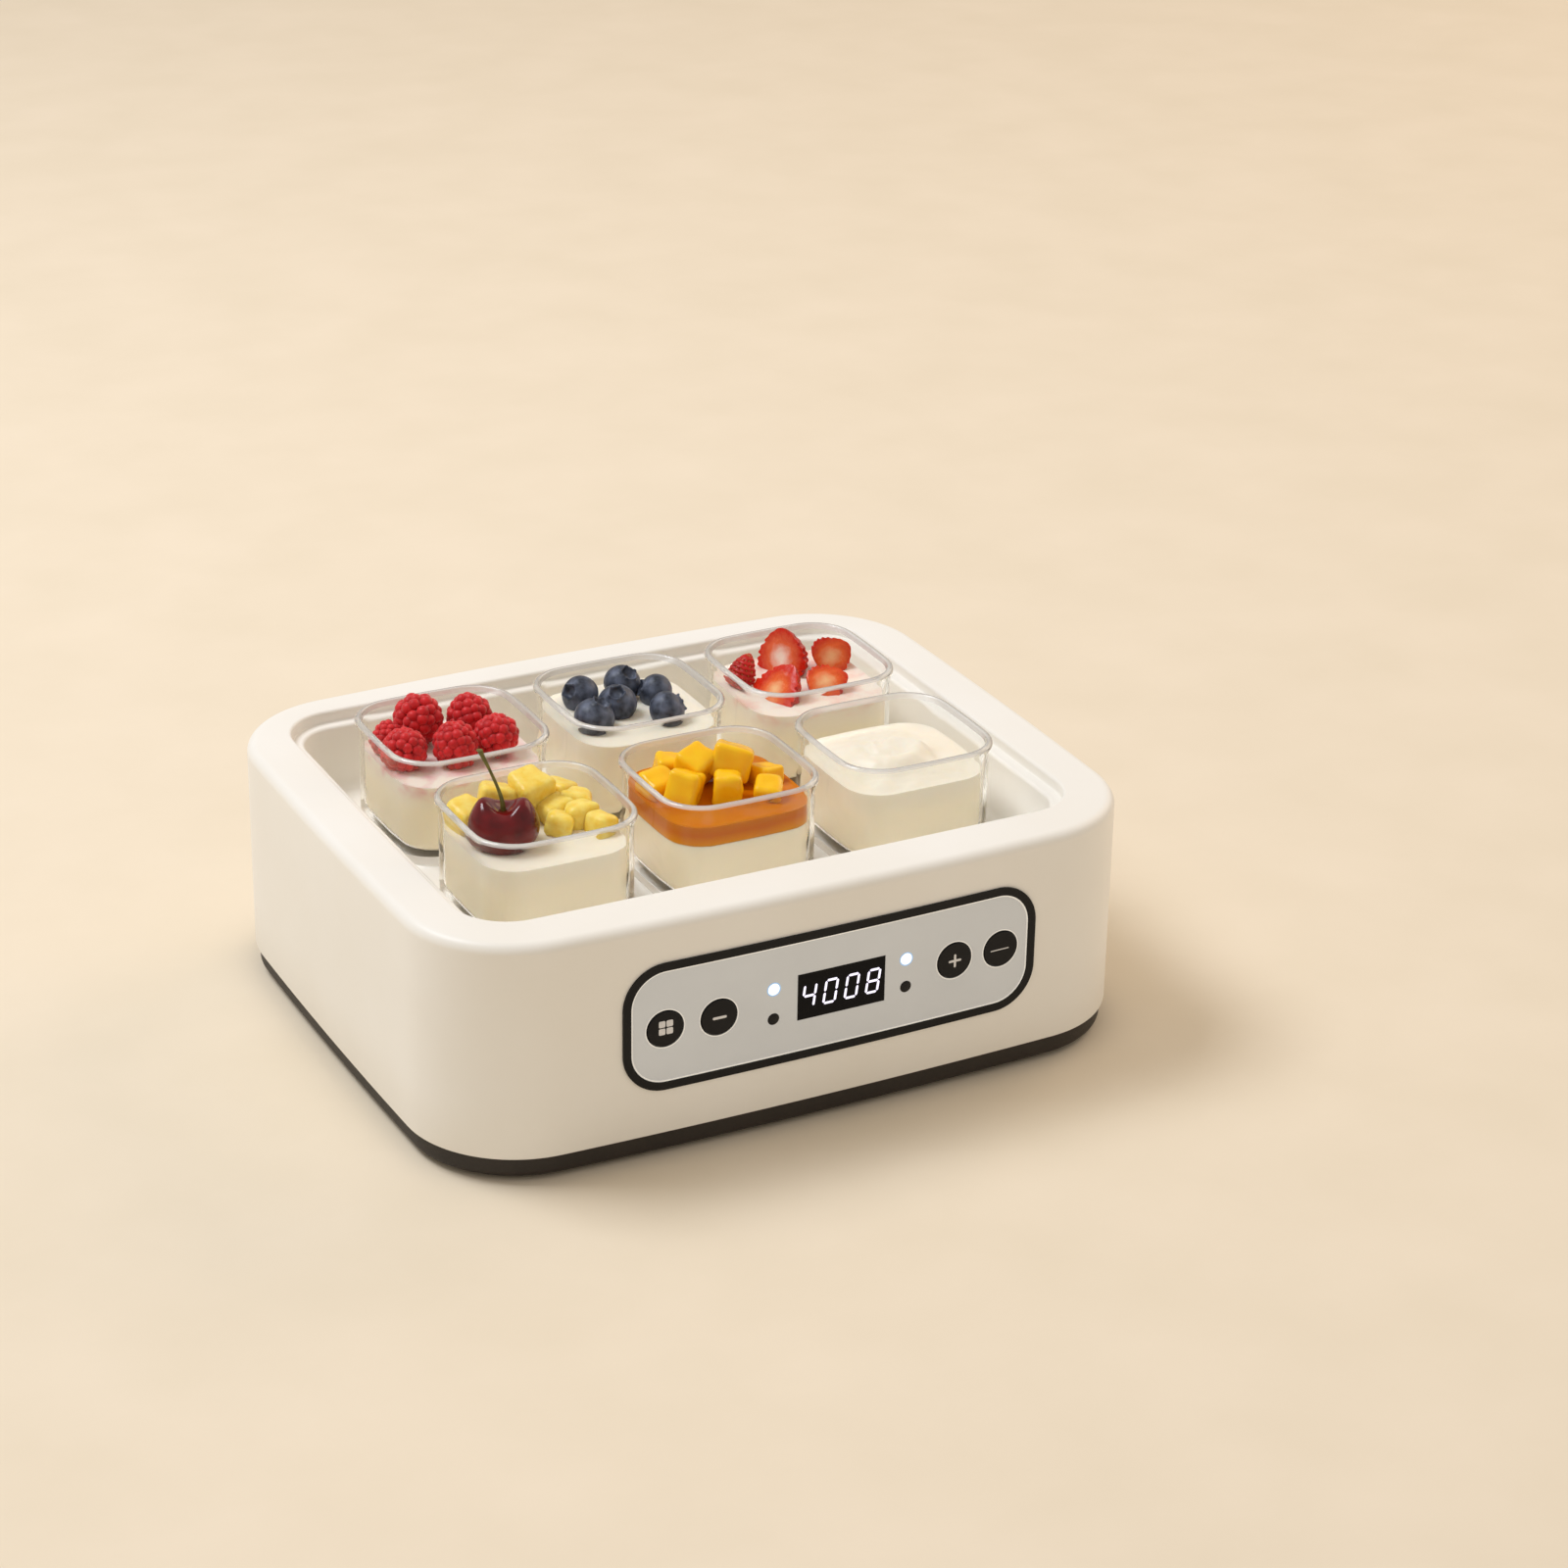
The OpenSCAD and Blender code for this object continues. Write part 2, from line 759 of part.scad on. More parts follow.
// Foot, wall and mouth bead in one skin, then down the inside to the glass floor
module glass_jar() {
    edge = concat(arc(-5, 5, 5, -90, 0, 2), [[0, jar_h - 6], [bead*0.8, jar_h - 3]],
        arc(bead - 1.5, jar_h - 1.5, 1.5, 20, 90, 2),
        [[-0.9, jar_h], [-1.5, jar_h - 1.4], [-glass_t, jar_h - 4]],
        arc(-glass_t - 5, jar_floor + 5, 5, 0, -90, 2));
    color([0.86, 0.93, 0.95, 0.35])
        skin(rings(jar, edge, jar_steps));
}

// Soft filling from height base to height top, its lower edge rounded where it lies on the glass
module yogurt(base, top) {
    g = glass_t + 0.05;
    lower = base > jar_floor ? [[-g, base]] : arc(-g - 5, base + 5.05, 5, -90, 0, 2);
    color("#f6f1e4")
        skin(rings(jar, concat(lower, [[-g, top - 0.8], [-g - 0.8, top]]), jar_steps));
}

module jar_back_left() { at_jar(-1, 1) glass_jar(); }
module jar_back_middle() { at_jar(0, 1) glass_jar(); }
module jar_back_right() { at_jar(1, 1) glass_jar(); }
module jar_front_left() { at_jar(-1, -1) glass_jar(); }
module jar_front_middle() { at_jar(0, -1) glass_jar(); }
module jar_front_right() { at_jar(1, -1) glass_jar(); }

// Height of the filling in each jar, back row then front row
fill_back = [31, 33.5, 32];
fill_front = [31, 25.5, 31.5];
module yogurt_back_left() { at_jar(-1, 1) yogurt(jar_floor, fill_back[0]); }
module yogurt_back_middle() { at_jar(0, 1) yogurt(jar_floor, fill_back[1]); }
module yogurt_back_right() { at_jar(1, 1) yogurt(jar_floor, fill_back[2]); }
module yogurt_front_left() { at_jar(-1, -1) yogurt(jar_floor, fill_front[0]); }
module yogurt_front_middle() { at_jar(0, -1) yogurt(jar_floor, fill_front[1]); }

// Plain yogurt with a spooned mound
module yogurt_front_right() {
    at_jar(1, -1) {
        yogurt(jar_floor, fill_front[2]);
        color("#f6f1e4")
            translate([1, 1, fill_front[2] - 0.5])
                rotate_extrude($fn = fn_turn)
                    polygon([[0, 0], [22, 0], [19, 2], [14, 4], [9, 5.6], [4, 6.4], [0, 6.6]]);
    }
}

module mango_sauce() {
    color("#e8870f")
        at_jar(0, -1)
            yogurt(fill_front[1] + 0.02, fill_front[1] + 7.5);
}

// ---------------------------------------------------------------- fruit
// A raspberry: a blunt cone of flesh with its hollow at the broad end
module raspberry(r) {
    rotate_extrude($fn = fn_turn)
        polygon(concat(arc(0, -r*0.1, r, -70, 0, 5), [[r*0.94, r*0.35]],
            arc(0, r*0.35, r*0.6, 25, 90, 3), [[0, -r*0.6]]));
}

// Middle and radius of each raspberry: [x, y, z, radius]
raspberry_at = [[-8.7, 12.1, 41.2, 7.9], [10.5, 10.5, 41, 7.9], [13.5, -8, 38, 7.8],
    [-3.4, -9, 38, 7.8], [-19.1, -5, 37.6, 7.5], [-21.2, 9.4, 34.3, 5.6]];
module raspberries() {
    color("#b3142a")
        at_jar(-1, 1)
            for (i = [0:len(raspberry_at) - 1])
                let (b = raspberry_at[i])
                    translate([b[0], b[1], b[2]])
                        rotate([20*sin(i*100), 20*cos(i*70), 0])
                            raspberry(b[3]);
}

// A blueberry: a globe with the open crown of its calyx
module blueberry(r) {
    rotate_extrude($fn = fn_turn)
        polygon(concat(arc(0, 0, r, -90, 66, 9), [[r*0.36, r*1.02], [r*0.3, r*0.8], [0, r*0.74]]));
}

// Middle and radius of each blueberry: [x, y, z, radius]
blueberry_at = [[-13, 15, 39, 7], [4.5, 16.5, 40, 7], [-4.5, 1.5, 40, 7.2],
    [13.5, 5.5, 38.6, 6.6], [10.5, -10.5, 38.6, 7], [-17, -7.5, 38.6, 7.4]];
module blueberries() {
    color("#2c3550")
        at_jar(0, 1)
            for (i = [0:len(blueberry_at) - 1])
                let (b = blueberry_at[i])
                    translate([b[0], b[1], b[2]])
                        rotate([30*sin(i*130), 30*cos(i*85), 0])
                            blueberry(b[3]);
}

// A strawberry cut in half lengthways: tip up, its cut face towards -Y
module strawberry_half(r, h) {
    rotate_extrude(angle = 180, $fn = fn_turn)
        polygon([[0, 0], [r*0.55, h*0.02], [r*0.9, h*0.12], [r, h*0.3], [r*0.88, h*0.55],
            [r*0.6, h*0.8], [r*0.25, h*0.98], [0, h]]);
}

// Place, radius, length and three turns of each half: [x, y, z, radius, length, rx, ry, rz]
strawberry_at = [[-0.6, 11.5, 29.5, 10.2, 19.6, -12, -8, -41],
    [13.3, 9.5, 33.6, 8.4, 15, -33, 55, -50], [0.6, -7.6, 33.6, 7.6, 16, -75, 38, -93],
    [-19.3, -7.4, 28, 11, 20.5, -39, 9, -81], [-19.6, 9.7, 30.4, 6.7, 13.6, 18, 0, 100]];
module strawberries() {
    color("#c8201c")
        at_jar(1, 1)
            for (b = strawberry_at)
                translate([b[0], b[1], b[2]])
                    rotate([b[5], b[6], b[7]])
                        strawberry_half(b[3], b[4]);
}

// A wedge of pineapple
module pineapple_chunk(w, d, h) {
    translate([0, 0, -h/2])
        linear_extrude(h)
            polygon([[-w/2, -d/2], [w/2, -d*0.4], [w*0.4, d/2], [-w*0.3, d*0.42]]);
}

// Middle, size and turn of each chunk: [x, y, z, width, depth, height, turn]
pineapple_at = [[-19.1, 17.4, 35, 11, 10, 8, 20], [-6.5, 19.2, 36.6, 10, 8.4, 10, -15],
    [6.3, 15.5, 40.4, 12.5, 11, 12, 10], [18.5, 18.1, 36, 9, 8, 9, 40],
    [19.5, 6.2, 35.2, 10, 8, 8, -30], [9, 4.1, 34.5, 8.6, 7.6, 8, 15],
    [12, -6.6, 34.7, 9.5, 8, 8, 60], [21.6, -6.6, 34, 8, 8, 7, 0]];
module pineapple_chunks() {
    color("#f0cf57")
        at_jar(-1, -1)
            for (b = pineapple_at)
                translate([b[0], b[1], b[2]])
                    rotate([12, -8, b[6]])
                        pineapple_chunk(b[3], b[4], b[5]);
}

// A cherry with the deep dimple of its stem
cherry_at = [-13, -3.5, 37.5];
cherry_r = 11.8;
module cherry() {
    color("#5a0a14")
        at_jar(-1, -1)
            translate(cherry_at)
                rotate_extrude($fn = fn_turn)
                    polygon(concat([[0, -cherry_r*0.86]],
                        [for (a = [-80:10:80]) [cherry_r*cos(a), cherry_r*0.86*sin(a)]],
                        [[cherry_r*0.1, cherry_r*0.66], [0, cherry_r*0.62]]));
}

stem_points = [[0, 0, cherry_r*0.66], [-0.6, 0.6, cherry_r], [-3, 3, cherry_r + 9],
    [-5.4, 6.4, cherry_r + 17]];
module cherry_stem() {
    color("#4e5a1f")
        at_jar(-1, -1)
            translate(cherry_at)
                lead(stem_points, 0.7);
}

// A soft-edged cube of mango
module mango_cube(s) {
    c = s*0.14;
    translate([0, 0, -s/2])
        linear_extrude(s)
            polygon([[-s/2 + c, -s/2], [s/2 - c, -s/2], [s/2, -s/2 + c], [s/2, s/2 - c],
                [s/2 - c, s/2], [-s/2 + c, s/2], [-s/2, s/2 - c], [-s/2, -s/2 + c]]);
}

// Middle, side and turn of each cube: [x, y, z, side, turn]
mango_at = [[-6.8, 8, 40.8, 11.2, 14], [8.9, 6, 40.9, 11.2, -28], [-16.1, -3.6, 38, 10.4, 50],
    [-1.6, -11, 38.2, 10.2, 5], [-20, 11.8, 35.4, 8, 10], [14, -12.4, 35.6, 8.8, 60],
    [20.4, 0.2, 35.6, 8.6, 15], [-7.8, 21.4, 34.8, 8, -10]];
module mango_cubes() {
    color("#f2a01d")
        at_jar(0, -1)
            for (i = [0:len(mango_at) - 1])
                let (b = mango_at[i])
                    translate([b[0], b[1], b[2]])
                        rotate([14*sin(i*80), 14*cos(i*110), b[4]])
                            mango_cube(b[3]);
}

housing();
base_pan();
rubber_feet();
base_screws();
heat_spreader();
spreader_screws();
heating_cord();
cord_clips();
temperature_sensor();
sensor_clip();
thermal_fuse();
fuse_clip();
power_board();
board_screws();
transformer();
relay();
capacitor();
terminal_block();
heater_leads();
sensor_leads();
ribbon_cable();
cord_bush();
panel_bezel();
fascia();
display_window();
indicator_lenses();
control_board();
control_screws();
display_module();
tact_switches();
indicator_leds();
control_chip();
buzzer();
function_button();
minus_button();
plus_button();
confirm_button();
jar_back_left();
jar_back_middle();
jar_back_right();
jar_front_left();
jar_front_middle();
jar_front_right();
yogurt_back_left();
yogurt_back_middle();
yogurt_back_right();
yogurt_front_left();
yogurt_front_middle();
yogurt_front_right();
raspberries();
blueberries();
strawberries();
pineapple_chunks();
cherry();
cherry_stem();
mango_sauce();
mango_cubes();
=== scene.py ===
import math
import random

import bmesh
import bpy
from mathutils import Euler, Matrix, Vector, noise


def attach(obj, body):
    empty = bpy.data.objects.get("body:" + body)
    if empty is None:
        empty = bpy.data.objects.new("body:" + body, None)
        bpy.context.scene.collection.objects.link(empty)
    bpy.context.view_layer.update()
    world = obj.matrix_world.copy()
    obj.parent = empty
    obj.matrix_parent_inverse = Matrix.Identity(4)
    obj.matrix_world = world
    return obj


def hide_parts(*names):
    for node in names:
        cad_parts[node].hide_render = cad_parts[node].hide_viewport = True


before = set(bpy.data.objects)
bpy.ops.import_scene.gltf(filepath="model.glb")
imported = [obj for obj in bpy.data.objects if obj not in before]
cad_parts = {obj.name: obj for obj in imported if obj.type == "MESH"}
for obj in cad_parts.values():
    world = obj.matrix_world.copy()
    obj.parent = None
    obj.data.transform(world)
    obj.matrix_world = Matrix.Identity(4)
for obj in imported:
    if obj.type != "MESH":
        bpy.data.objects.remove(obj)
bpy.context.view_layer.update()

# ---------------------------------------------------------------- camera
# A long lens 1.5 m off at the front left, above the rim and looking down into the jars. It
# is tipped one degree to the side.
camera = bpy.data.cameras.new("camera")
camera.lens = 89.528
camera.sensor_width = 36
camera.clip_end = 50
eye_place = Vector((-0.57711, -1.179249, 0.694582))
eye_angles = Euler([math.radians(a) for a in (65.07, -0.928, -27.39)])
eye = bpy.data.objects.new("camera", camera)
eye.matrix_world = Matrix.LocRotScale(eye_place, eye_angles, None)
bpy.context.scene.collection.objects.link(eye)
bpy.context.scene.camera = eye
bpy.context.scene.view_settings.view_transform = "Standard"

# ---------------------------------------------------------------- studio
# A plain pale floor and an even warm-white surround. A cool lamp high behind on the left is
# the window, a wide warm one far off on the right is the wall that it lights, and a faint
# one in front is what a table throws back.


def linear(code):
    """sRGB hex to linear red, green, blue, alpha."""
    parts = [int(code[i:i + 2], 16)/255 for i in (1, 3, 5)]
    return tuple(v/12.92 if v < 0.04045 else ((v + 0.055)/1.055)**2.4 for v in parts) + (1,)


def add(tree, kind, inputs=None, **settings):
    """Adds one node, with its settings, and its inputs as values or links."""
    made = tree.nodes.new(kind)
    for key, value in settings.items():
        setattr(made, key, value)
    for key, value in (inputs or {}).items():
        if isinstance(value, bpy.types.NodeSocket):
            tree.links.new(value, made.inputs[key])
        else:
            made.inputs[key].default_value = value
    return made


def surface(name, base, shade, grain, rough, swing=0.06, relief=0.02, relief_grain=None, **shader):
    """A material mottled between two colours, grain millimetres across. Its roughness swings
    by swing, and its bump is relief millimetres deep, relief_grain across."""
    made = bpy.data.materials.new(name)
    made.use_nodes = True
    tree = made.node_tree
    principled = tree.nodes["Principled BSDF"]
    place = add(tree, "ShaderNodeTexCoord").outputs["Object"]
    cloud = add(tree, "ShaderNodeTexNoise", {"Vector": place, "Scale": 1000/grain, "Detail": 4.0})
    spread = add(tree, "ShaderNodeMapRange",
                 {"Value": cloud.outputs["Fac"], "From Min": 0.3, "From Max": 0.7})
    mix = add(tree, "ShaderNodeMix", {0: spread.outputs[0], 6: linear(base), 7: linear(shade)},
              data_type="RGBA")
    tree.links.new(mix.outputs[2], principled.inputs["Base Color"])
    fine = add(tree, "ShaderNodeTexNoise",
               {"Vector": place, "Scale": 1000/(relief_grain or grain*0.4), "Detail": 3.0})
    gloss = add(tree, "ShaderNodeMapRange", {"Value": fine.outputs["Fac"], "From Min": 0.3, "From Max": 0.7,
                                             "To Min": rough - swing/2, "To Max": rough + swing/2})
    tree.links.new(gloss.outputs[0], principled.inputs["Roughness"])
    bump = add(tree, "ShaderNodeBump", {"Height": fine.outputs["Fac"], "Strength": 0.6,
                                        "Distance": relief/1000})
    tree.links.new(bump.outputs[0], principled.inputs["Normal"])
    for key, value in shader.items():
        principled.inputs[key.replace("_", " ")].default_value = value
    return made


floor_half = 9
floor_mesh = bpy.data.meshes.new("floor")
floor_mesh.from_pydata([(x*floor_half, y*floor_half, 0) for x, y in ((-1, -1), (1, -1), (1, 1), (-1, 1))],
                       [], [(0, 1, 2, 3)])
floor = bpy.data.objects.new("floor", floor_mesh)
# Heavy uncoated paper: quite matt, with a hardly visible cloudiness.
floor.data.materials.append(surface("matt pale paper", "#ecdfc9", "#e8dbc4", 60, 0.9))
bpy.context.scene.collection.objects.link(floor)

surround = bpy.data.worlds.new("surround")
bpy.context.scene.world = surround
surround.use_nodes = True
background = surround.node_tree.nodes["Background"].inputs
background["Color"].default_value = linear("#fff6ec")
background["Strength"].default_value = 0.55


def lamp(name, place, aim, size, watts, colour):
    """A square area lamp, size metres wide, turned towards a point."""
    data = bpy.data.lights.new(name, "AREA")
    data.size = size
    data.energy = watts
    data.color = linear(colour)[:3]
    made = bpy.data.objects.new(name, data)
    made.location = place
    made.rotation_euler = (Vector(aim) - Vector(place)).to_track_quat("-Z", "Y").to_euler()
    bpy.context.scene.collection.objects.link(made)


lamp("window_behind", (-0.98, 0.8, 2.15), (0, 0, 0.06), 1.0, 35.5, "#f4f8ff")
lamp("table_glow", (0.3, -1.8, 0.5), (0, 0, 0.05), 1.6, 0.8, "#ffdcae")
lamp("warm_wall", (2.6, 0.7, 1.6), (0, 0, 0.08), 2.0, 22, "#ffe0bc")

# ---------------------------------------------------------------- housing
# One moulding in cream ABS: four bowed walls, large round corners, a soft rim, a step for
# the lid and the well that the jars stand in. The panel's window is cut through its front.


def bowed(half_w, half_d, bow_w, bow_d, round_r, bow_steps=10, round_steps=24):
    """A function that gives the bowed outline, stepped out by off, as points in millimetres.
    Front and sides are wide arcs about points on the axes, and each corner's arc touches both."""
    front_r = (half_w**2 + bow_w**2)/(2*bow_w)
    side_r = (half_d**2 + bow_d**2)/(2*bow_d)
    front_c = Vector((0, half_d - front_r))
    side_c = Vector((half_w - side_r, 0))
    span = (side_c - front_c).length
    along = (side_c - front_c)/span
    reach = (span**2 + (front_r - round_r)**2 - (side_r - round_r)**2)/(2*span)
    aside = math.sqrt((front_r - round_r)**2 - reach**2)
    corner = front_c + along*reach + Vector((along.y, -along.x))*aside
    front_turn = math.atan2(corner.y - front_c.y, corner.x)
    side_turn = math.atan2(corner.y, corner.x - side_c.x)

    def points(off):
        quarter = [(side_c.x + (side_r + off)*math.cos(side_turn*i/bow_steps),
                    (side_r + off)*math.sin(side_turn*i/bow_steps)) for i in range(bow_steps + 1)]
        for i in range(1, round_steps + 1):
            a = side_turn + (front_turn - side_turn)*i/round_steps
            quarter.append((corner.x + (round_r + off)*math.cos(a), corner.y + (round_r + off)*math.sin(a)))
        for i in range(1, bow_steps + 1):
            a = front_turn + (math.pi/2 - front_turn)*i/bow_steps
            quarter.append(((front_r + off)*math.cos(a), front_c.y + (front_r + off)*math.sin(a)))
        n = len(quarter)
        return (quarter + [(-quarter[i][0], quarter[i][1]) for i in range(n - 2, -1, -1)]
                + [(-quarter[i][0], -quarter[i][1]) for i in range(1, n)]
                + [(quarter[i][0], -quarter[i][1]) for i in range(n - 2, 0, -1)])
    return points


def arc(cx, cz, r, start, stop, steps):
    """[offset, height] points on an arc, in millimetres and degrees."""
    return [(cx + r*math.cos(math.radians(start + (stop - start)*i/steps)),
             cz + r*math.sin(math.radians(start + (stop - start)*i/steps))) for i in range(steps + 1)]


def loops(outline, edge, back=0.0):
    """The outline at each step of an edge, in metres, set back millimetres to the rear."""
    return [[(x/1000, (y + back)/1000, z/1000) for x, y in outline(off)] for off, z in edge]


def piece(name, verts, faces, finish, body, crease=35, place=(0, 0, 0)):
    """A mesh piece in metres that rides on a body."""
    mesh = bpy.data.meshes.new(name)
    mesh.from_pydata(verts, [], faces)
    mesh.validate()
    made = bpy.data.objects.new(name, mesh)
    bpy.context.scene.collection.objects.link(made)
    mesh.shade_smooth()
    mesh.set_sharp_from_angle(angle=math.radians(crease))
    mesh.materials.append(finish)
    made.location = place
    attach(made, body)
    return made


def stands_for(node):
    """The piece takes a solid's place, and the solid is hidden."""
    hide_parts(node)


def wall_faces(rows, n):
    """Four-sided faces of a tube: rows bands between rings of n points."""
    return [(i*n + k, i*n + (k + 1) % n, (i + 1)*n + (k + 1) % n, (i + 1)*n + k)
            for i in range(rows) for k in range(n)]


def skin(name, rings, finish, body, crease=35, place=(0, 0, 0)):
    """A closed skin over rings of points, each anticlockwise from above, first ring to last."""
    n = len(rings[0])
    last = len(rings) - 1
    faces = [list(range(n))[::-1]] + wall_faces(last, n) + [[last*n + k for k in range(n)]]
    return piece(name, [p for ring in rings for p in ring], faces, finish, body, crease, place)


def cut(made, verts, faces, crease=35):
    """Takes a shape, or several, out of a piece, and leaves a plain mesh."""
    mesh = bpy.data.meshes.new("cutter")
    mesh.from_pydata(verts, [], faces)
    tool = bpy.data.objects.new("cutter", mesh)
    bpy.context.scene.collection.objects.link(tool)
    change = made.modifiers.new("cut", "BOOLEAN")
    change.object = tool
    change.solver = "EXACT"
    bpy.context.view_layer.update()
    result = bpy.data.meshes.new_from_object(made.evaluated_get(bpy.context.evaluated_depsgraph_get()))
    made.modifiers.clear()
    made.data = result
    result.set_sharp_from_angle(angle=math.radians(crease))
    bpy.data.objects.remove(tool)


def prism_faces(n):
    """Both ends and the sides of a prism with n corners."""
    return [list(range(n))[::-1], list(range(n, 2*n))] + wall_faces(1, n)


def prism(points, low, high, axis="z"):
    """Vertices and faces of a prism over a flat outline, along z or along y, in millimetres."""
    if axis == "z":
        verts = [(x/1000, y/1000, h/1000) for h in (low, high) for x, y in points]
    else:
        verts = [(x/1000, h/1000, z/1000) for h in (high, low) for x, z in points]
    return verts, prism_faces(len(points))


def together(shapes):
    """Several vertex and face lists as one."""
    verts, faces = [], []
    for v, f in shapes:
        faces += [[i + len(verts) for i in face] for face in f]
        verts += v
    return verts, faces


def round_box(half_w, half_h, r, cx=0.0, cz=0.0, steps=12):
    """Outline of a rounded rectangle, anticlockwise."""
    out = []
    for sx, sz, a0 in ((1, 1, 0), (-1, 1, 90), (-1, -1, 180), (1, -1, 270)):
        for i in range(steps + 1):
            a = math.radians(a0 + 90*i/steps)
            out.append((cx + sx*(half_w - r) + r*math.cos(a), cz + sz*(half_h - r) + r*math.sin(a)))
    return out


def disc(cx, cz, r, steps=32):
    """Outline of a circle, anticlockwise."""
    return [(cx + r*math.cos(2*math.pi*k/steps), cz + r*math.sin(2*math.pi*k/steps)) for k in range(steps)]


# The moulding, in millimetres: half sizes, bows and corners, and the heights of its edges.
body_half_w, body_half_d, front_bow, side_bow, body_round_r = 140, 115.5, 4.1, 2.3, 42.4
well_half_w, well_half_d, well_bow, well_round_r = 120.1, 96.3, 0.6, 20
wall, floor_t, rim_r = 3.0, 2.6, 4
rim_z, skirt_z, floor_z = 92.5, 9.7, 63.0
ledge_z = rim_z - 4.7
well_back = 3.4
body_outline = bowed(body_half_w, body_half_d, front_bow, side_bow, body_round_r)
well_outline = bowed(well_half_w, well_half_d, well_bow, well_bow, well_round_r)
panel_x, panel_z = 6.0, 52.1
window_half_w, window_half_h, window_r = 81.2, 23.9, 15.3
bush_x, bush_z, bush_hole_r = 84, 27, 6.1

# Moulded ABS with a fine spark texture: soft sheen, almost no pattern at arm's length. The
# grain is drawn at 0.9 mm, coarser than the real 0.2 mm, so that it shows.
cream_abs = surface("moulded ABS, cream satin", "#f5f3ed", "#f2efe7", 60, 0.42, 0.05, 0.012, 0.9,
                    IOR=1.5, Specular_IOR_Level=0.45)

# Edges as [offset, height]: the well from beneath, the outside over the rim, the well inside.
under = [(-6.2, floor_z - floor_t), (-4.2, floor_z), (-4.2, ledge_z - 4.2), (-2.1, ledge_z - floor_t),
         (floor_t, ledge_z - floor_t), (floor_t, rim_z - wall)]
outside = ([(-wall, rim_z - wall), (-wall, skirt_z), (-0.7, skirt_z), (-0.2, skirt_z + 0.3), (0, skirt_z + 1),
            (0, 30), (0, 60)] + arc(-rim_r, rim_z - rim_r, rim_r, 0, 90, 10))
well_edge = (arc(-11.8, floor_z + 5, 5, -90, 0, 8) + arc(-3.1, ledge_z - 1.6, 1.6, 180, 90, 6)
             + arc(-0.8, ledge_z + 0.8, 0.8, -90, 0, 5) + arc(1.4, rim_z - 1.4, 1.4, 180, 90, 7))
housing = skin("housing_shell", loops(well_outline, under, well_back) + loops(body_outline, outside)
               + loops(well_outline, well_edge[::-1], well_back), cream_abs, "yogurt_maker")
cut(housing, *together([
    prism(round_box(window_half_w, window_half_h, window_r, panel_x, panel_z), -140, -104, "y"),
    prism(disc(bush_x, bush_z, bush_hole_r, 24), 100, 130, "y")]))
stands_for("housing")

# ---------------------------------------------------------------- base pan
# A dark dish in textured polypropylene that closes the housing from below. It steps in
# under the skirt, so that it reads as a thin shadow line, and is slotted to let air in.

# Grained polypropylene: dull, so that the whole strip reads as one dark line.
pan_pp = surface("moulded PP, dark brown grained", "#2a231d", "#221c18", 25, 0.55, 0.12, 0.03, 0.8,
                 IOR=1.49)
pan_edge = arc(-4.6, 4.5, 3, -90, 0, 8)
pan_edge += [(-1.6, skirt_z - 0.4), (-3.3, skirt_z - 0.4), (-3.3, skirt_z + 5), (-5.3, skirt_z + 5),
             (-5.3, 4.0)]
pan = skin("base_dish", loops(body_outline, pan_edge), pan_pp, "yogurt_maker")
vent_x, vent_pitch, vent_half_w, vent_half_d = 52, 9, 1.5, 17.5
screw_x, screw_y, head_r, shank_r = 106, 74, 3.4, 1.7


def slot_outline(half_w, half_d, x, y):
    """Outline of a slot with round ends, or of a hole where both halves are the same."""
    return round_box(half_w, half_d, half_w - 0.01, x, y, 4)


openings = [prism(slot_outline(vent_half_w, vent_half_d, side*vent_x + (i - 3)*vent_pitch, 0), 0, 8)
            for side in (-1, 1) for i in range(7)]
for x in (-screw_x, 0, screw_x):
    for y in (-screw_y, screw_y):
        openings.append(prism(slot_outline(head_r, head_r, x, y), 0, 2.7))
        openings.append(prism(slot_outline(shank_r, shank_r, x, y), 2, 9))
cut(pan, *together(openings))
stands_for("base_pan")

# ---------------------------------------------------------------- feet, screws, bush
# Pressed-in rubber feet, zinc-plated screws in their wells and the rubber bush at the back:
# all exact turned shapes, so their own solids show.


def dress(finish, *nodes):
    """Gives solids that show as they are their finish."""
    for name in nodes:
        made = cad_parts[name]
        made.data.materials.clear()
        made.data.materials.append(finish)


# Nitrile rubber: matt, with a faint bloom that lifts the black.
nitrile = surface("nitrile rubber, black", "#1e1c1b", "#292725", 6, 0.82, 0.1, 0.04, 0.6, IOR=1.52)
# Zinc-plated steel: bright, slightly yellow-grey, rough from the plating.
zinc_steel = surface("zinc-plated steel", "#b9b8b4", "#a3a29e", 1.5, 0.38, 0.12, 0.01, 0.4, Metallic=1.0)
dress(nitrile, "rubber_feet", "cord_bush")
dress(zinc_steel, "base_screws", "spreader_screws", "board_screws", "control_screws")

# ---------------------------------------------------------------- heater
# Under the well: a rolled aluminium plate that spreads the heat, the silicone heating cord
# in its runs, spring clips, the sensor and the thermal fuse.

# Rolled aluminium: a pale even shine, a little cloudy from the rolls.
dress(surface("rolled aluminium", "#c4c6c8", "#b2b4b7", 9, 0.34, 0.1, 0.008, 0.7, Metallic=1.0),
      "heat_spreader")
# Extruded silicone: brick red, smooth, with a waxy sheen.
dress(surface("extruded silicone, brick", "#b9542f", "#a84a29", 3, 0.5, 0.1, 0.01, 0.5, IOR=1.42),
      "heating_cord")
# Spring steel: grey and bright, darker where it was tempered.
dress(surface("blued spring steel", "#8f9194", "#7a7c80", 2, 0.32, 0.1, 0.01, 0.5, Metallic=1.0),
      "cord_clips", "sensor_clip", "fuse_clip", "temperature_sensor")
# Fired steatite: chalky off-white, without gloss.
dress(surface("fired steatite", "#d8d2c4", "#cdc6b6", 2, 0.7, 0.1, 0.02, 0.4, IOR=1.6), "thermal_fuse")

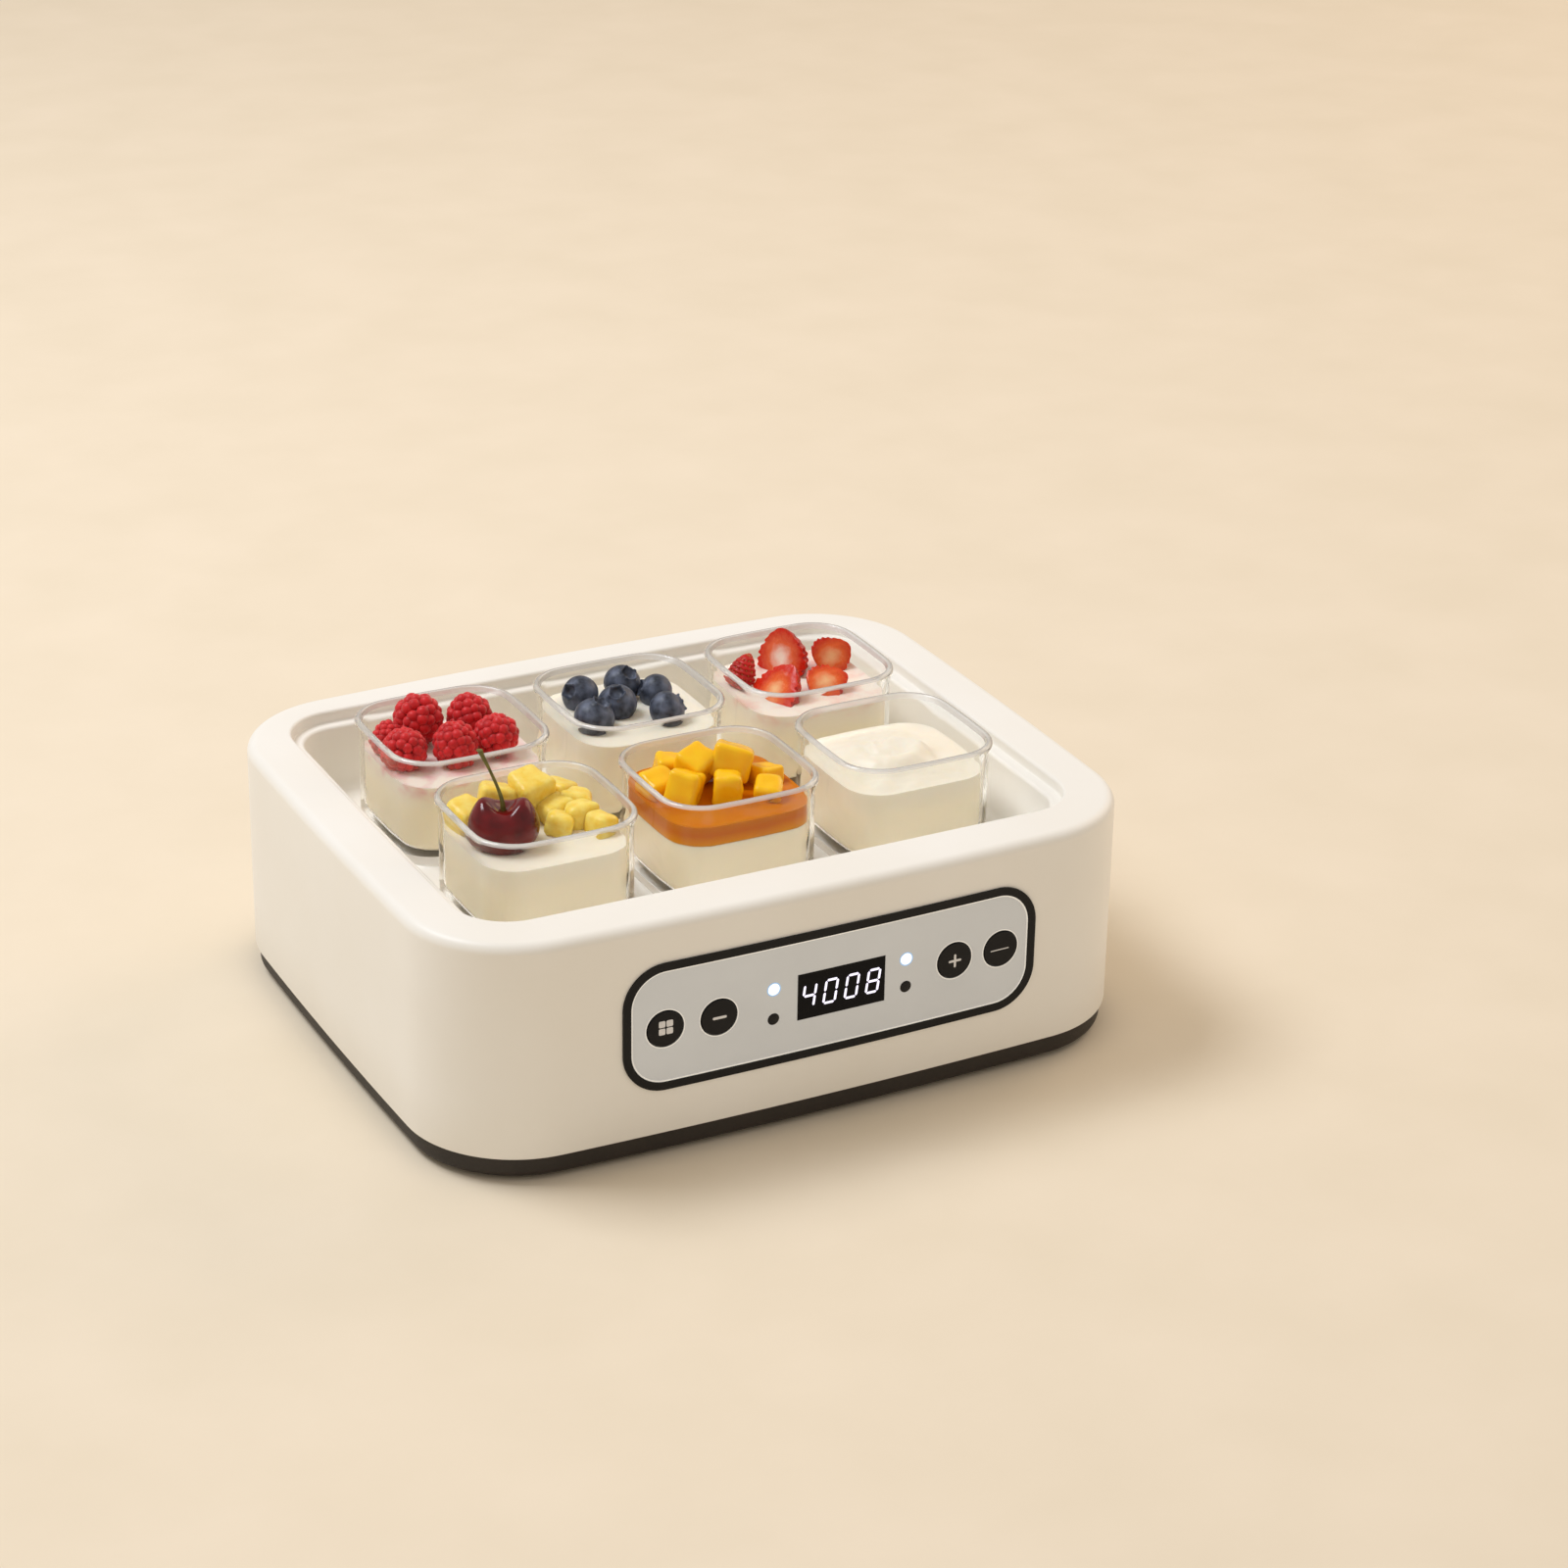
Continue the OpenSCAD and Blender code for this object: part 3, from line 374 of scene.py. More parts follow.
# ---------------------------------------------------------------- boards
# Two lacquered glass-fibre boards and what is soldered to them, all moulded or wound parts,
# with the leads that join them to the heater and the ribbon between them.

# Solder mask over glass cloth: a satin green, faintly uneven from the weave under it.
dress(surface("solder mask on glass-fibre board", "#2c6a43", "#245a38", 3, 0.35, 0.1, 0.01, 0.6, IOR=1.55),
      "power_board", "control_board")
# Polyester tape: amber, with the gloss of a film wound tight.
dress(surface("polyester coil tape", "#d9b23c", "#cda531", 4, 0.3, 0.08, 0.02, 1.2, IOR=1.6), "transformer")
# Moulded PBT: an even blue with a low sheen.
dress(surface("moulded PBT, blue", "#1f4c8f", "#1a427d", 5, 0.4, 0.08, 0.01, 0.5, IOR=1.55), "relay")
# Moulded polyamide: green, a little duller than the relay's case.
dress(surface("moulded polyamide, green", "#3c8a55", "#347a4b", 4, 0.45, 0.08, 0.01, 0.5, IOR=1.53),
      "terminal_block")
# Shrunk PVC: dark and glossy, drawn tight over the can.
dress(surface("shrunk PVC sleeve, dark", "#22303f", "#1b2733", 4, 0.3, 0.08, 0.01, 0.6, IOR=1.53),
      "capacitor")
# Epoxy: black, matt and slightly gritty.
dress(surface("moulded epoxy, black", "#1b1b1d", "#252527", 2, 0.6, 0.12, 0.02, 0.3, IOR=1.55),
      "control_chip", "buzzer", "tact_switches", "display_module")
# Silicone insulation, red: soft-looking and waxy, without a hard glint.
dress(surface("silicone insulation, red", "#c23b2a", "#ad3224", 2, 0.5, 0.1, 0.01, 0.5, IOR=1.42),
      "heater_leads")
# The same in white, a warm off-white against the boards.
dress(surface("silicone insulation, white", "#e4dfd3", "#d8d2c4", 2, 0.5, 0.1, 0.01, 0.5, IOR=1.42),
      "sensor_leads")
# PVC ribbon: grey and dull, uneven at the 1.3 mm pitch of its wires.
dress(surface("PVC ribbon, grey", "#8d9298", "#7f848a", 1.3, 0.5, 0.1, 0.02, 1.3, IOR=1.53), "ribbon_cable")

# ---------------------------------------------------------------- control panel
# A black moulded tray whose rim stands proud round a light grey printed film, with a pale
# line along the film's edge, whose faint glow is a painted highlight.
front_curve_r = (body_half_w**2 + front_bow**2)/(2*front_bow)
film_half_w, film_half_h, film_r, edge_w = 78.9, 21.6, 13.0, 0.5


def front_y(x):
    """Where the bowed front wall stands at x, in millimetres."""
    return -body_half_d + front_curve_r - math.sqrt(front_curve_r**2 - x**2)


def flat_mark(name, outlines, out, thick, finish, body):
    """Flat shapes laid on the bowed front, out millimetres proud of it."""
    shapes = []
    for points in outlines:
        verts = [(x/1000, (front_y(x) - out - h)/1000, z/1000) for h in (0, thick) for x, z in points]
        shapes.append((verts, prism_faces(len(points))))
    return piece(name, *together(shapes), finish, body, 30)


def ring_patches(outer, inner):
    """A ring between two outlines with the same count of points, as four-sided patches."""
    n = len(outer)
    return [[outer[k], outer[(k + 1) % n], inner[(k + 1) % n], inner[k]] for k in range(n)]


# Moulded ABS, black: an even low sheen.
dress(surface("moulded ABS, black", "#121213", "#171718", 12, 0.42, 0.08, 0.01, 0.6, IOR=1.5,
              Specular_IOR_Level=0.2), "panel_bezel")
# Screen-printed polycarbonate film: flat cool grey with a very fine tooth.
dress(surface("printed polycarbonate film, light grey", "#e1e7ed", "#dce2e8", 30, 0.5, 0.05, 0.006, 0.5,
              IOR=1.58, Specular_IOR_Level=0.3), "fascia")
# The film's cut edge is pale, and a faint glow makes it a shade brighter than white: a painted highlight
# where the edge catches the light.
film_edge_painted_highlight = surface("cut film edge, pale, painted highlight", "#fbfbf8", "#f3f3ef", 6, 0.35, 0.05, 0.004, 0.5, IOR=1.58,
                    Emission_Color=linear("#fbfaf4"), Emission_Strength=0.2)


def short_steps(outline, step=6):
    """The same outline with its long straight runs cut short, so that it follows the bow."""
    points = []
    for (x0, z0), (x1, z1) in zip(outline, outline[1:] + outline[:1]):
        n = max(1, round(math.hypot(x1 - x0, z1 - z0)/step))
        points += [(x0 + (x1 - x0)*i/n, z0 + (z1 - z0)*i/n) for i in range(n)]
    return points


def film_outline(inset):
    """The film's outline, brought in by inset millimetres."""
    rounded = round_box(film_half_w - inset, film_half_h - inset, film_r - inset, panel_x, panel_z, 10)
    return short_steps(rounded)


# The pale line along the film's edge glows faintly: a painted highlight.
edge_line = flat_mark("fascia_edge_line", ring_patches(film_outline(0), film_outline(edge_w)),
                      out=0.36, thick=0.07, finish=film_edge_painted_highlight, body="yogurt_maker")

# ---------------------------------------------------------------- display
# A smoked acrylic window over a four-digit LED block. Each digit is seven lit bars on a
# slight slant; unlit bars stay dark.

# Smoked acrylic: near black, polished, so that it mirrors the room a little.
dress(surface("polished acrylic, smoked", "#040407", "#07070c", 20, 0.12, 0.04, 0.002, 2, IOR=1.49,
              Specular_IOR_Level=0.12), "display_window")


def lit_resin(name, colour, shade, strength):
    """Resin over a light: it gives off its own colour evenly."""
    return surface(name, colour, shade, 1.2, 0.35, 0.05, 0.004, 0.6, IOR=1.5,
                   Emission_Color=linear(colour), Emission_Strength=strength)


# A lit bar is an even violet white, with no hot spot.
lit_bar = lit_resin("lit segment, violet white", "#eceaff", "#d9d4ff", 0.95)
screen_x, screen_z = 8.4, 51.8
digit_w, digit_h, bar_w, bar_gap, slant = 2.25, 4.4, 0.45, 0.2, 0.14
first_digit, digit_pitch = screen_x - 12.9, 8.5
# The two ends of each bar, in half widths and half heights of a digit.
bars = {"a": ((-1, 1), (1, 1)), "b": ((1, 1), (1, 0)), "c": ((1, 0), (1, -1)), "d": ((-1, -1), (1, -1)),
        "e": ((-1, 0), (-1, -1)), "f": ((-1, 1), (-1, 0)), "g": ((-1, 0), (1, 0))}
shown = {"4": "fgbc", "0": "abcdef", "8": "abcdefg"}
segments = []
for i, sign in enumerate("4008"):
    for bar in shown[sign]:
        start, end = [Vector((x*digit_w, z*digit_h)) for x, z in bars[bar]]
        way = (end - start).normalized()
        across = Vector((way.y, -way.x))*bar_w
        a, b = start + way*bar_gap, end - way*bar_gap
        ring = [a, a + way*bar_w - across, b - way*bar_w - across,
                b, b - way*bar_w + across, a + way*bar_w + across]
        segments.append([(first_digit + digit_pitch*i + p.x + p.y*slant, screen_z + p.y) for p in ring])
digits = flat_mark("display_digits", segments, out=0.46, thick=0.04, finish=lit_bar, body="yogurt_maker")

# ---------------------------------------------------------------- indicator lights
# Four clear resin lenses. The two upper ones are lit, cool white; the two lower ones are
# painted dark, a painted shade for the hole behind them, and look like black dots in the film.
lights = [(-18.4, 57.3, True), (-18.4, 45.6, False), (34.4, 57.3, True), (34.4, 46.3, False)]
lit_r, dark_r, halo_outer_r, halo_inner_r = 2.3, 2.35, 2.7, 2.25
# A lit lens is white all over, as bright as its light.
lit_lens = lit_resin("lit lens, cool white", "#f2f8ff", "#cfe4ff", 1.0)
# Round it the light leaks out under the film in a pale blue ring.
halo_ring = lit_resin("lens rim, pale blue", "#a9cdf5", "#8fb9ea", 0.35)
# An unlit lens is painted almost black, a painted shade for the dark hole behind its clear resin, with one
# soft glint.
dark_lens = surface("unlit lens, painted shade", "#0f0f11", "#161618", 2, 0.25, 0.05, 0.004, 0.6, IOR=1.49,
                    Specular_IOR_Level=0.25)


def dome(name, cx, cz, r, out, rise, finish, body, steps=32, rows=6):
    """A low dome that faces forwards, out millimetres proud of the front."""
    verts = []
    for i in range(rows):
        a = math.pi/2*i/rows
        verts += [(x/1000, (front_y(cx) - out - rise*math.sin(a))/1000, z/1000)
                  for x, z in disc(cx, cz, r*math.cos(a), steps)]
    verts.append((cx/1000, (front_y(cx) - out - rise)/1000, cz/1000))
    last = (rows - 1)*steps
    faces = [list(range(steps))[::-1]] + wall_faces(rows - 1, steps)
    faces += [(last + k, last + (k + 1) % steps, rows*steps) for k in range(steps)]
    return piece(name, verts, faces, finish, body, 40)


for number, (x, z, lit) in enumerate(lights, 1):
    lens = dome(f"lens_{number}", x, z, lit_r if lit else dark_r, out=0.2, rise=0.6,
                finish=lit_lens if lit else dark_lens, body="yogurt_maker")
    stands_for("indicator_lenses")
    if lit:
        halo = ring_patches(disc(x, z, halo_outer_r), disc(x, z, halo_inner_r))
        rim = flat_mark(f"lens_rim_{number}", halo, out=0.36, thick=0.05, finish=halo_ring,
                        body="yogurt_maker")
dress(lit_lens, "indicator_leds")

# ---------------------------------------------------------------- buttons
# Four turned-looking black caps, 14 mm across, that press in by half a millimetre. Each
# carries a plain white sign printed on it, and sits in a thin pale printed ring whose faint glow is a painted
# highlight.

# Polished ABS: black with a soft mirror.
button_abs = surface("polished ABS, black", "#111113", "#161618", 8, 0.34, 0.06, 0.008, 0.5, IOR=1.5,
                     Specular_IOR_Level=0.2)
# Screen ink: a flat, opaque white.
white_ink = surface("screen-printed ink, white", "#e9e9ea", "#dcdcde", 1.5, 0.5, 0.08, 0.006, 0.4, IOR=1.5)
cap_face, ring_outer_r, ring_inner_r = 0.95, 7.55, 7.2
square_half, square_at, squares_up = 1.25, 1.45, 0.7


def bar_mark(half_w, half_h):
    """A bar with round ends, about the middle of its button."""
    return round_box(half_w, half_h, min(half_w, half_h)*0.98, 0, 0, 5)


squares = [round_box(square_half, square_half, 0.5, square_at*a, squares_up + square_at*b, 4)
           for a in (-1, 1) for b in (-1, 1)]
buttons = {
    "function_button": (-60.1, 51.3, squares),
    "minus_button": (-39.6, 51.3, [bar_mark(2.7, 0.5)]),
    "plus_button": (54.3, 52.2, [bar_mark(2.6, 0.45), bar_mark(0.45, 2.6)]),
    "confirm_button": (73.6, 52.3, [bar_mark(4.4, 0.2)])}
for name, (x, z, signs) in buttons.items():
    dress(button_abs, name)
    placed = [[(x + right, z + up) for right, up in outline] for outline in signs]
    sign = flat_mark("sign_" + name, placed, out=cap_face - 0.03, thick=0.06, finish=white_ink, body=name)
    patches = ring_patches(disc(x, z, ring_outer_r, 48), disc(x, z, ring_inner_r, 48))
    # The pale ring round each button glows faintly: a painted highlight.
    ring = flat_mark("ring_" + name, patches, out=0.33, thick=0.05, finish=film_edge_painted_highlight, body="yogurt_maker")

# ---------------------------------------------------------------- glass jars
# Six squat squircle jars in pressed soda-lime glass: a thick foot, a thin wall and a rolled
# bead round the mouth, where the glass is thickest. The light that the bead catches is painted into it as a
# white band edged with painted shade, and the foot is painted pale.
jar_h, glass_t, jar_floor = 43.0, 2.6, 4.5
bead_from, foot_to = jar_h - 1.35, 5.6
jar_half, jar_bow, jar_round_r = 30.5, 1.2, 16
jar_outline = bowed(jar_half, jar_half, jar_bow, jar_bow, jar_round_r, bow_steps=6, round_steps=14)
jar_at = {f"{row}_{column}": (x, y) for row, y in (("back", 41.3), ("front", -34.5))
          for column, x in (("left", -72.3), ("middle", 0), ("right", 72.3))}


def pressed_glass(name, tint, painted_edge_shade, clearness, bend, rough, coat):
    """Clear glass under a hard bright surface with faint waves 14 mm apart, painted darker where it is seen
    edge on: a painted shade. Lamps shine through it, and light that has turned inside it twice leaves it
    straight."""
    made = bpy.data.materials.new(name)
    made.use_nodes = True
    tree = made.node_tree
    glass = tree.nodes["Principled BSDF"]
    for key, value in {"Transmission Weight": clearness, "IOR": bend, "Roughness": rough,
                       "Coat Weight": coat, "Coat IOR": 1.5, "Coat Roughness": 0.02}.items():
        glass.inputs[key].default_value = value
    # Painted shade: the colour darkens towards the edge colour where the glass is seen edge on.
    slant = add(tree, "ShaderNodeLayerWeight", {"Blend": 0.35}).outputs["Facing"]
    tint_and_painted_edge_shade = add(tree, "ShaderNodeMix", {0: slant, 6: linear(tint), 7: linear(painted_edge_shade)},
                     data_type="RGBA")
    tree.links.new(tint_and_painted_edge_shade.outputs[2], glass.inputs["Base Color"])
    place = add(tree, "ShaderNodeTexCoord").outputs["Object"]
    waves = add(tree, "ShaderNodeTexNoise", {"Vector": place, "Scale": 1000/14, "Detail": 1.0})
    bump = add(tree, "ShaderNodeBump",
               {"Height": waves.outputs["Fac"], "Strength": 0.5, "Distance": 0.4/1000})
    tree.links.new(bump.outputs[0], glass.inputs["Coat Normal"])
    clear = add(tree, "ShaderNodeBsdfTransparent", {"Color": linear("#ffffff")})
    light = add(tree, "ShaderNodeLightPath").outputs
    turned_twice = add(tree, "ShaderNodeMath", {0: light["Ray Depth"], 1: 2.5}, operation="GREATER_THAN")
    straight = add(tree, "ShaderNodeMath", {0: light["Is Shadow Ray"], 1: turned_twice.outputs[0]},
                   operation="MAXIMUM")
    passes = add(tree, "ShaderNodeMixShader",
                 {0: straight.outputs[0], 1: glass.outputs[0], 2: clear.outputs[0]})
    tree.links.new(passes.outputs[0], tree.nodes["Material Output"].inputs["Surface"])
    return made


# Thin soda-lime glass: clear, and it bends what is behind it only a little. Edge on it is painted a faint
# shade darker.
soda_glass = pressed_glass("pressed soda-lime glass", "#fdfefd", "#f3f1ea",
                           clearness=1.0, bend=1.06, rough=0.0, coat=0.35)
# The fire-polished bead bends more and shines where it faces a lamp. Half of it is painted white, a painted
# highlight for the light it gathers, and edge on it is painted grey-brown, a painted shade for the dark lines
# it shows.
fire_polished = pressed_glass("fire-polished glass bead", "#ffffff", "#5a554b",
                              clearness=0.5, bend=1.13, rough=0.04, coat=1.0)
# The thick foot is painted almost white, as pale as the well that it stands in: painted light, for what real
# glass would carry into it. Edge on it is painted a little darker, a painted shade.
thick_foot = pressed_glass("thick pressed glass foot", "#ffffff", "#e6dfd0",
                           clearness=0.15, bend=1.13, rough=0.06, coat=0.4)
# Light crosses many walls of glass in a row of jars, so it may pass through 32 of them.
bpy.context.scene.cycles.transparent_max_bounces = 32

jar_edge = (arc(-2.2, 2.35, 2.2, -90, 0, 6) + [(0, 4.8), (0, 20), (0, 36), (0.15, 38), (0.6, 39.6)]
            + arc(-0.2, jar_h - 1.5, 1.5, -20, 90, 7) + arc(-0.4, jar_h - 0.7, 0.7, 100, 180, 3)
            + [(-1.6, jar_h - 2), (-2.3, jar_h - 3.4), (-glass_t, jar_h - 5), (-glass_t, 24)]
            + arc(-glass_t - 5, jar_floor + 5, 5, 0, -90, 7))


def in_jar(spot, x=0.0, y=0.0, z=0.0):
    """A place in a jar, from the middle of its foot in millimetres, in metres."""
    return ((jar_at[spot][0] + x)/1000, (jar_at[spot][1] + y)/1000, (floor_z + z)/1000)


for spot in jar_at:
    jar = skin("glass_" + spot, loops(jar_outline, jar_edge), soda_glass, "filled_jar_" + spot,
               crease=60, place=in_jar(spot))
    jar.data.materials.append(fire_polished)
    jar.data.materials.append(thick_foot)
    for face in jar.data.polygons:
        z = face.center.z
        face.material_index = 1 if z > bead_from/1000 else 2 if z < foot_to/1000 else 0
    stands_for("jar_" + spot)

# ---------------------------------------------------------------- yogurt
# Set yogurt poured to a little under the mouth: a soft skin with shallow waves, drawn up
# where it wets the glass, and stained by the fruit that lies on it.


def set_yogurt(name, base, stain, low, high, grain, amount):
    """Wet yogurt: base on top, and lower down behind the glass a lighter, warmer cream, painted light for the
    warm light in the well. The stain comes in between the heights low and high, in patches grain millimetres
    across."""
    made = surface(name, base, base, 12, 0.34, 0.12, 0.12, 5.0, IOR=1.36, Subsurface_Weight=0.25,
                   Subsurface_Radius=(1.0, 0.75, 0.5), Subsurface_Scale=0.0035, Specular_IOR_Level=0.45)
    tree = made.node_tree
    principled = tree.nodes["Principled BSDF"]
    place = add(tree, "ShaderNodeTexCoord").outputs["Object"]
    height = add(tree, "ShaderNodeSeparateXYZ", {"Vector": place}).outputs["Z"]
    rise = add(tree, "ShaderNodeMapRange", {"Value": height, "From Min": low/1000, "From Max": high/1000})
    wide = add(tree, "ShaderNodeMapping", {"Vector": place, "Scale": (1, 1, 1.8)})
    patch = add(tree, "ShaderNodeTexNoise", {"Vector": wide.outputs[0], "Scale": 1000/grain, "Detail": 5.0})
    spread = add(tree, "ShaderNodeMapRange", {"Value": patch.outputs["Fac"], "From Min": 0.45,
                                              "From Max": 0.72, "To Max": amount})
    factor = add(tree, "ShaderNodeMath", {0: rise.outputs[0], 1: spread.outputs[0]}, operation="MULTIPLY")
    # Painted light: the sides behind the glass, below the top, are painted a lighter, warmer cream.
    side_light_fade = add(tree, "ShaderNodeMapRange", {"Value": height, "From Min": 0.022, "From Max": 0.031})
    body = add(tree, "ShaderNodeMix", {0: side_light_fade.outputs[0], 6: linear("#fff3da"), 7: linear(base)},
               data_type="RGBA")
    mix = add(tree, "ShaderNodeMix", {0: factor.outputs[0], 6: body.outputs[2], 7: linear(stain)},
              data_type="RGBA")
    tree.links.new(mix.outputs[2], principled.inputs["Base Color"])
    return made


# A filling stops this far short of the glass, in millimetres, so that no two faces share a plane.
glass_gap = 0.06


def filling(name, base, top, finish, spot, node, edge_r=5.0, rows=26):
    """A filling inside a jar from height base up to the surface that top gives. Its rings
    shrink towards the middle of the surface and stop just short of it."""
    off = -glass_t - glass_gap
    rim = jar_outline(off)
    edge = arc(off - edge_r, base + edge_r, edge_r, -90, 0, 6) if edge_r else [(off, base)]
    rings = loops(jar_outline, edge)
    for i in range(rows + 1):
        share = 1 - i/rows*0.985
        rings.append([(x*share/1000, y*share/1000, top(x*share, y*share, 1 - share)/1000) for x, y in rim])
    made = skin(name, rings, finish, "filled_jar_" + spot, crease=50, place=in_jar(spot))
    stands_for(node)


# The lip that yogurt and sauce draw up on the glass.
lip_h = 0.7


def waves_over(level, seed, swell=0.5, grain=16):
    """Surface height: gentle waves, and a lip drawn up where it meets the glass."""
    def top(x, y, inward):
        wave = noise.noise(Vector((x/grain, y/grain, seed)))*swell
        wave += noise.noise(Vector((x/5, y/5, seed + 9)))*swell*0.22
        return level + wave*min(1, inward*8) + lip_h*math.exp(-inward*30) - 0.4
    return top


def spooned(x, y, inward):
    """The mound that a spoon leaves: a soft heap with a turned-over swirl on top."""
    level, heap_h, heap_r, swirl_h, swirl_r, fold_h = 30.8, 5.2, 18.5, 1.9, 10, 2.4
    r = math.hypot(x - 1, y - 1)
    turn = math.atan2(y - 1, x - 1)
    heap = heap_h*math.exp(-(r/heap_r)**3)
    swirl = swirl_h*math.sin(turn + r/3.0 - 0.6)*math.exp(-((r - swirl_r)/8)**2)*min(1, (r/6)**2)
    fold = fold_h*math.exp(-((r - 9 - 3*math.cos(turn - 0.6))/2.2)**2)*max(0, math.cos(turn - 2.4))
    swirl += fold*min(1, (r/5)**2)
    ripple = 1.3*noise.noise(Vector((x/9, y/9, 4.2))) + 0.4*noise.noise(Vector((x/3.5, y/3.5, 8.8)))
    return level + heap + swirl + ripple*min(1, inward*6) + lip_h*math.exp(-inward*30)


# Set yogurt: soft, white and wet, blushed pink or salmon in patches where berries lie on it.
raspberry_yogurt = set_yogurt("set yogurt, stained by raspberry", "#f3ece0", "#dd6f86",
                              low=25, high=31, grain=9, amount=0.7)
plain_yogurt = set_yogurt("set yogurt, plain", "#f3eddd", "#f3ead2",
                          low=6, high=26, grain=14, amount=0.5)
strawberry_yogurt = set_yogurt("set yogurt, stained by strawberry", "#f3ece0", "#e88a80",
                               low=27, high=32, grain=9, amount=0.5)
for spot, top, finish, rows in (
        ("back_left", waves_over(31, 1.3), raspberry_yogurt, 26),
        ("back_middle", waves_over(33.4, 2.1), plain_yogurt, 26),
        ("back_right", waves_over(32, 5.7), strawberry_yogurt, 26),
        ("front_left", waves_over(31, 7.4, swell=1.1, grain=13), plain_yogurt, 26),
        ("front_middle", waves_over(25.6, 8.2, swell=0.3), plain_yogurt, 26),
        ("front_right", spooned, plain_yogurt, 44)):
    filling("set_yogurt_" + spot, jar_floor, top, finish, spot, "yogurt_" + spot, rows=rows)

# ---------------------------------------------------------------- mango sauce
# A clear amber sauce poured over the set yogurt. Behind the glass it is palest at the bottom,
# where it thins out on the yogurt, and deepest a little under its surface.

# Mango syrup: wet and glossy, lit from within.
mango_syrup = surface("mango syrup, glossy amber", "#e8900a", "#d67f08", 14, 0.1, 0.08, 0.08, 6, IOR=1.42,
                      Subsurface_Weight=0.15, Subsurface_Radius=(1.0, 0.5, 0.1), Subsurface_Scale=0.004,
                      Specular_IOR_Level=0.22)
syrup_tree = mango_syrup.node_tree
syrup_place = add(syrup_tree, "ShaderNodeTexCoord").outputs["Object"]
syrup_z = add(syrup_tree, "ShaderNodeSeparateXYZ", {"Vector": syrup_place}).outputs["Z"]
syrup_cloud = add(syrup_tree, "ShaderNodeTexNoise", {"Vector": syrup_place, "Scale": 1000/18, "Detail": 2.0})
syrup_rise = add(syrup_tree, "ShaderNodeMath", {0: syrup_cloud.outputs["Fac"], 1: 0.003, 2: syrup_z},
                 operation="MULTIPLY_ADD")
syrup_depth = add(syrup_tree, "ShaderNodeMapRange",
                  {"Value": syrup_rise.outputs[0], "From Min": 0.0265, "From Max": 0.0345})
syrup_ramp = add(syrup_tree, "ShaderNodeValToRGB", {"Fac": syrup_depth.outputs[0]})
stops = syrup_ramp.color_ramp.elements
stops[0].color = linear("#e09a08")
stops[1].color = linear("#ca7604")
for height, code in ((0.25, "#dc8602"), (0.6, "#ca6802"), (0.88, "#c86e02")):
    stops.new(height).color = linear(code)
syrup_tree.links.new(syrup_ramp.outputs[0], syrup_tree.nodes["Principled BSDF"].inputs["Base Color"])
filling("poured_sauce", 25.7, waves_over(33, 3.3, swell=0.8, grain=11), mango_syrup, "front_middle",
        "mango_sauce", edge_r=0.0)

# ---------------------------------------------------------------- raspberries
# Each berry is a thimble of 65 beads round a hollow core. The beads run in rings from the
# blunt tip to the broad end, each a little out of true.
rng = random.Random(11)


def turned(x, y, z, size=3):
    """Turns about X, then Y, then Z, in degrees."""
    return (Matrix.Rotation(math.radians(z), size, "Z") @ Matrix.Rotation(math.radians(y), size, "Y")
            @ Matrix.Rotation(math.radians(x), size, "X"))


def bead_template(level):
    """Vertices and faces of a ball of radius 1."""
    made = bmesh.new()
    bmesh.ops.create_icosphere(made, subdivisions=level, radius=1)
    verts = [v.co.copy() for v in made.verts]
    faces = [[v.index for v in f.verts] for f in made.faces]
    made.free()
    return verts, faces


bead_verts, bead_faces = bead_template(2)


def raspberry(name, x, y, z, r, turn, finish):
    """One berry, r millimetres in radius, tip up, then leaned over."""
    verts, faces = [], []
    rows = [(6, 1), (29, 6), (52, 10), (75, 13), (98, 14), (121, 12), (142, 9)]
    for i, (polar, count) in enumerate(rows):
        for k in range(count):
            a = 2*math.pi*(k + 0.5*(i % 2))/count + rng.uniform(-0.1, 0.1)
            p = math.radians(polar + rng.uniform(-4, 4))
            way = Vector((math.sin(p)*math.cos(a), math.sin(p)*math.sin(a), math.cos(p)*1.1))
            seat = way*r*rng.uniform(0.76, 0.8)
            size = r*rng.uniform(0.25, 0.29)
            out = way.normalized()
            side = out.orthogonal().normalized()
            other = out.cross(side)
            start = len(verts)
            for v in bead_verts:
                q = seat + (side*v.x + other*v.y)*size + out*v.z*size*0.98
                verts.append(tuple(turn @ q/1000))
            faces += [[j + start for j in face] for face in bead_faces]
    made = piece(name, verts, faces, finish, "filled_jar_back_left", crease=180,
                 place=in_jar("back_left", x, y, z))
    stands_for("raspberries")


# Raspberry flesh: light goes a little way in, and a short down softens every bead.
raspberry_flesh = surface("raspberry flesh", "#de2a2e", "#b41820", 5, 0.4, 0.14, 0.06, 0.9, IOR=1.38,
                          Subsurface_Weight=0.35, Subsurface_Radius=(1.0, 0.2, 0.16), Subsurface_Scale=0.003,
                          Specular_IOR_Level=0.35, Sheen_Weight=0.15, Sheen_Roughness=0.5)
for i, (x, y, z, r, lean, spin) in enumerate([
        (-7.7, 14, 40.2, 9.4, 24, 30), (11.7, 10.3, 39, 8.4, -22, 70), (14.8, -6.8, 37.6, 8.2, 60, 40),
        (-2, -8, 37.6, 8.4, 18, 200), (-20, -2.6, 37, 8.2, 74, 12), (-20.4, 11.6, 36, 6.2, 30, 150)], 1):
    raspberry(f"raspberry_{i}", x, y, z, r, turned(lean, 0, spin), raspberry_flesh)

# ---------------------------------------------------------------- blueberries
# Round berries with a dusty bloom, each ending in a five-pointed crown round a sunk eye.
# They were dropped on the set yogurt and lie a little way in it, leaning all ways.


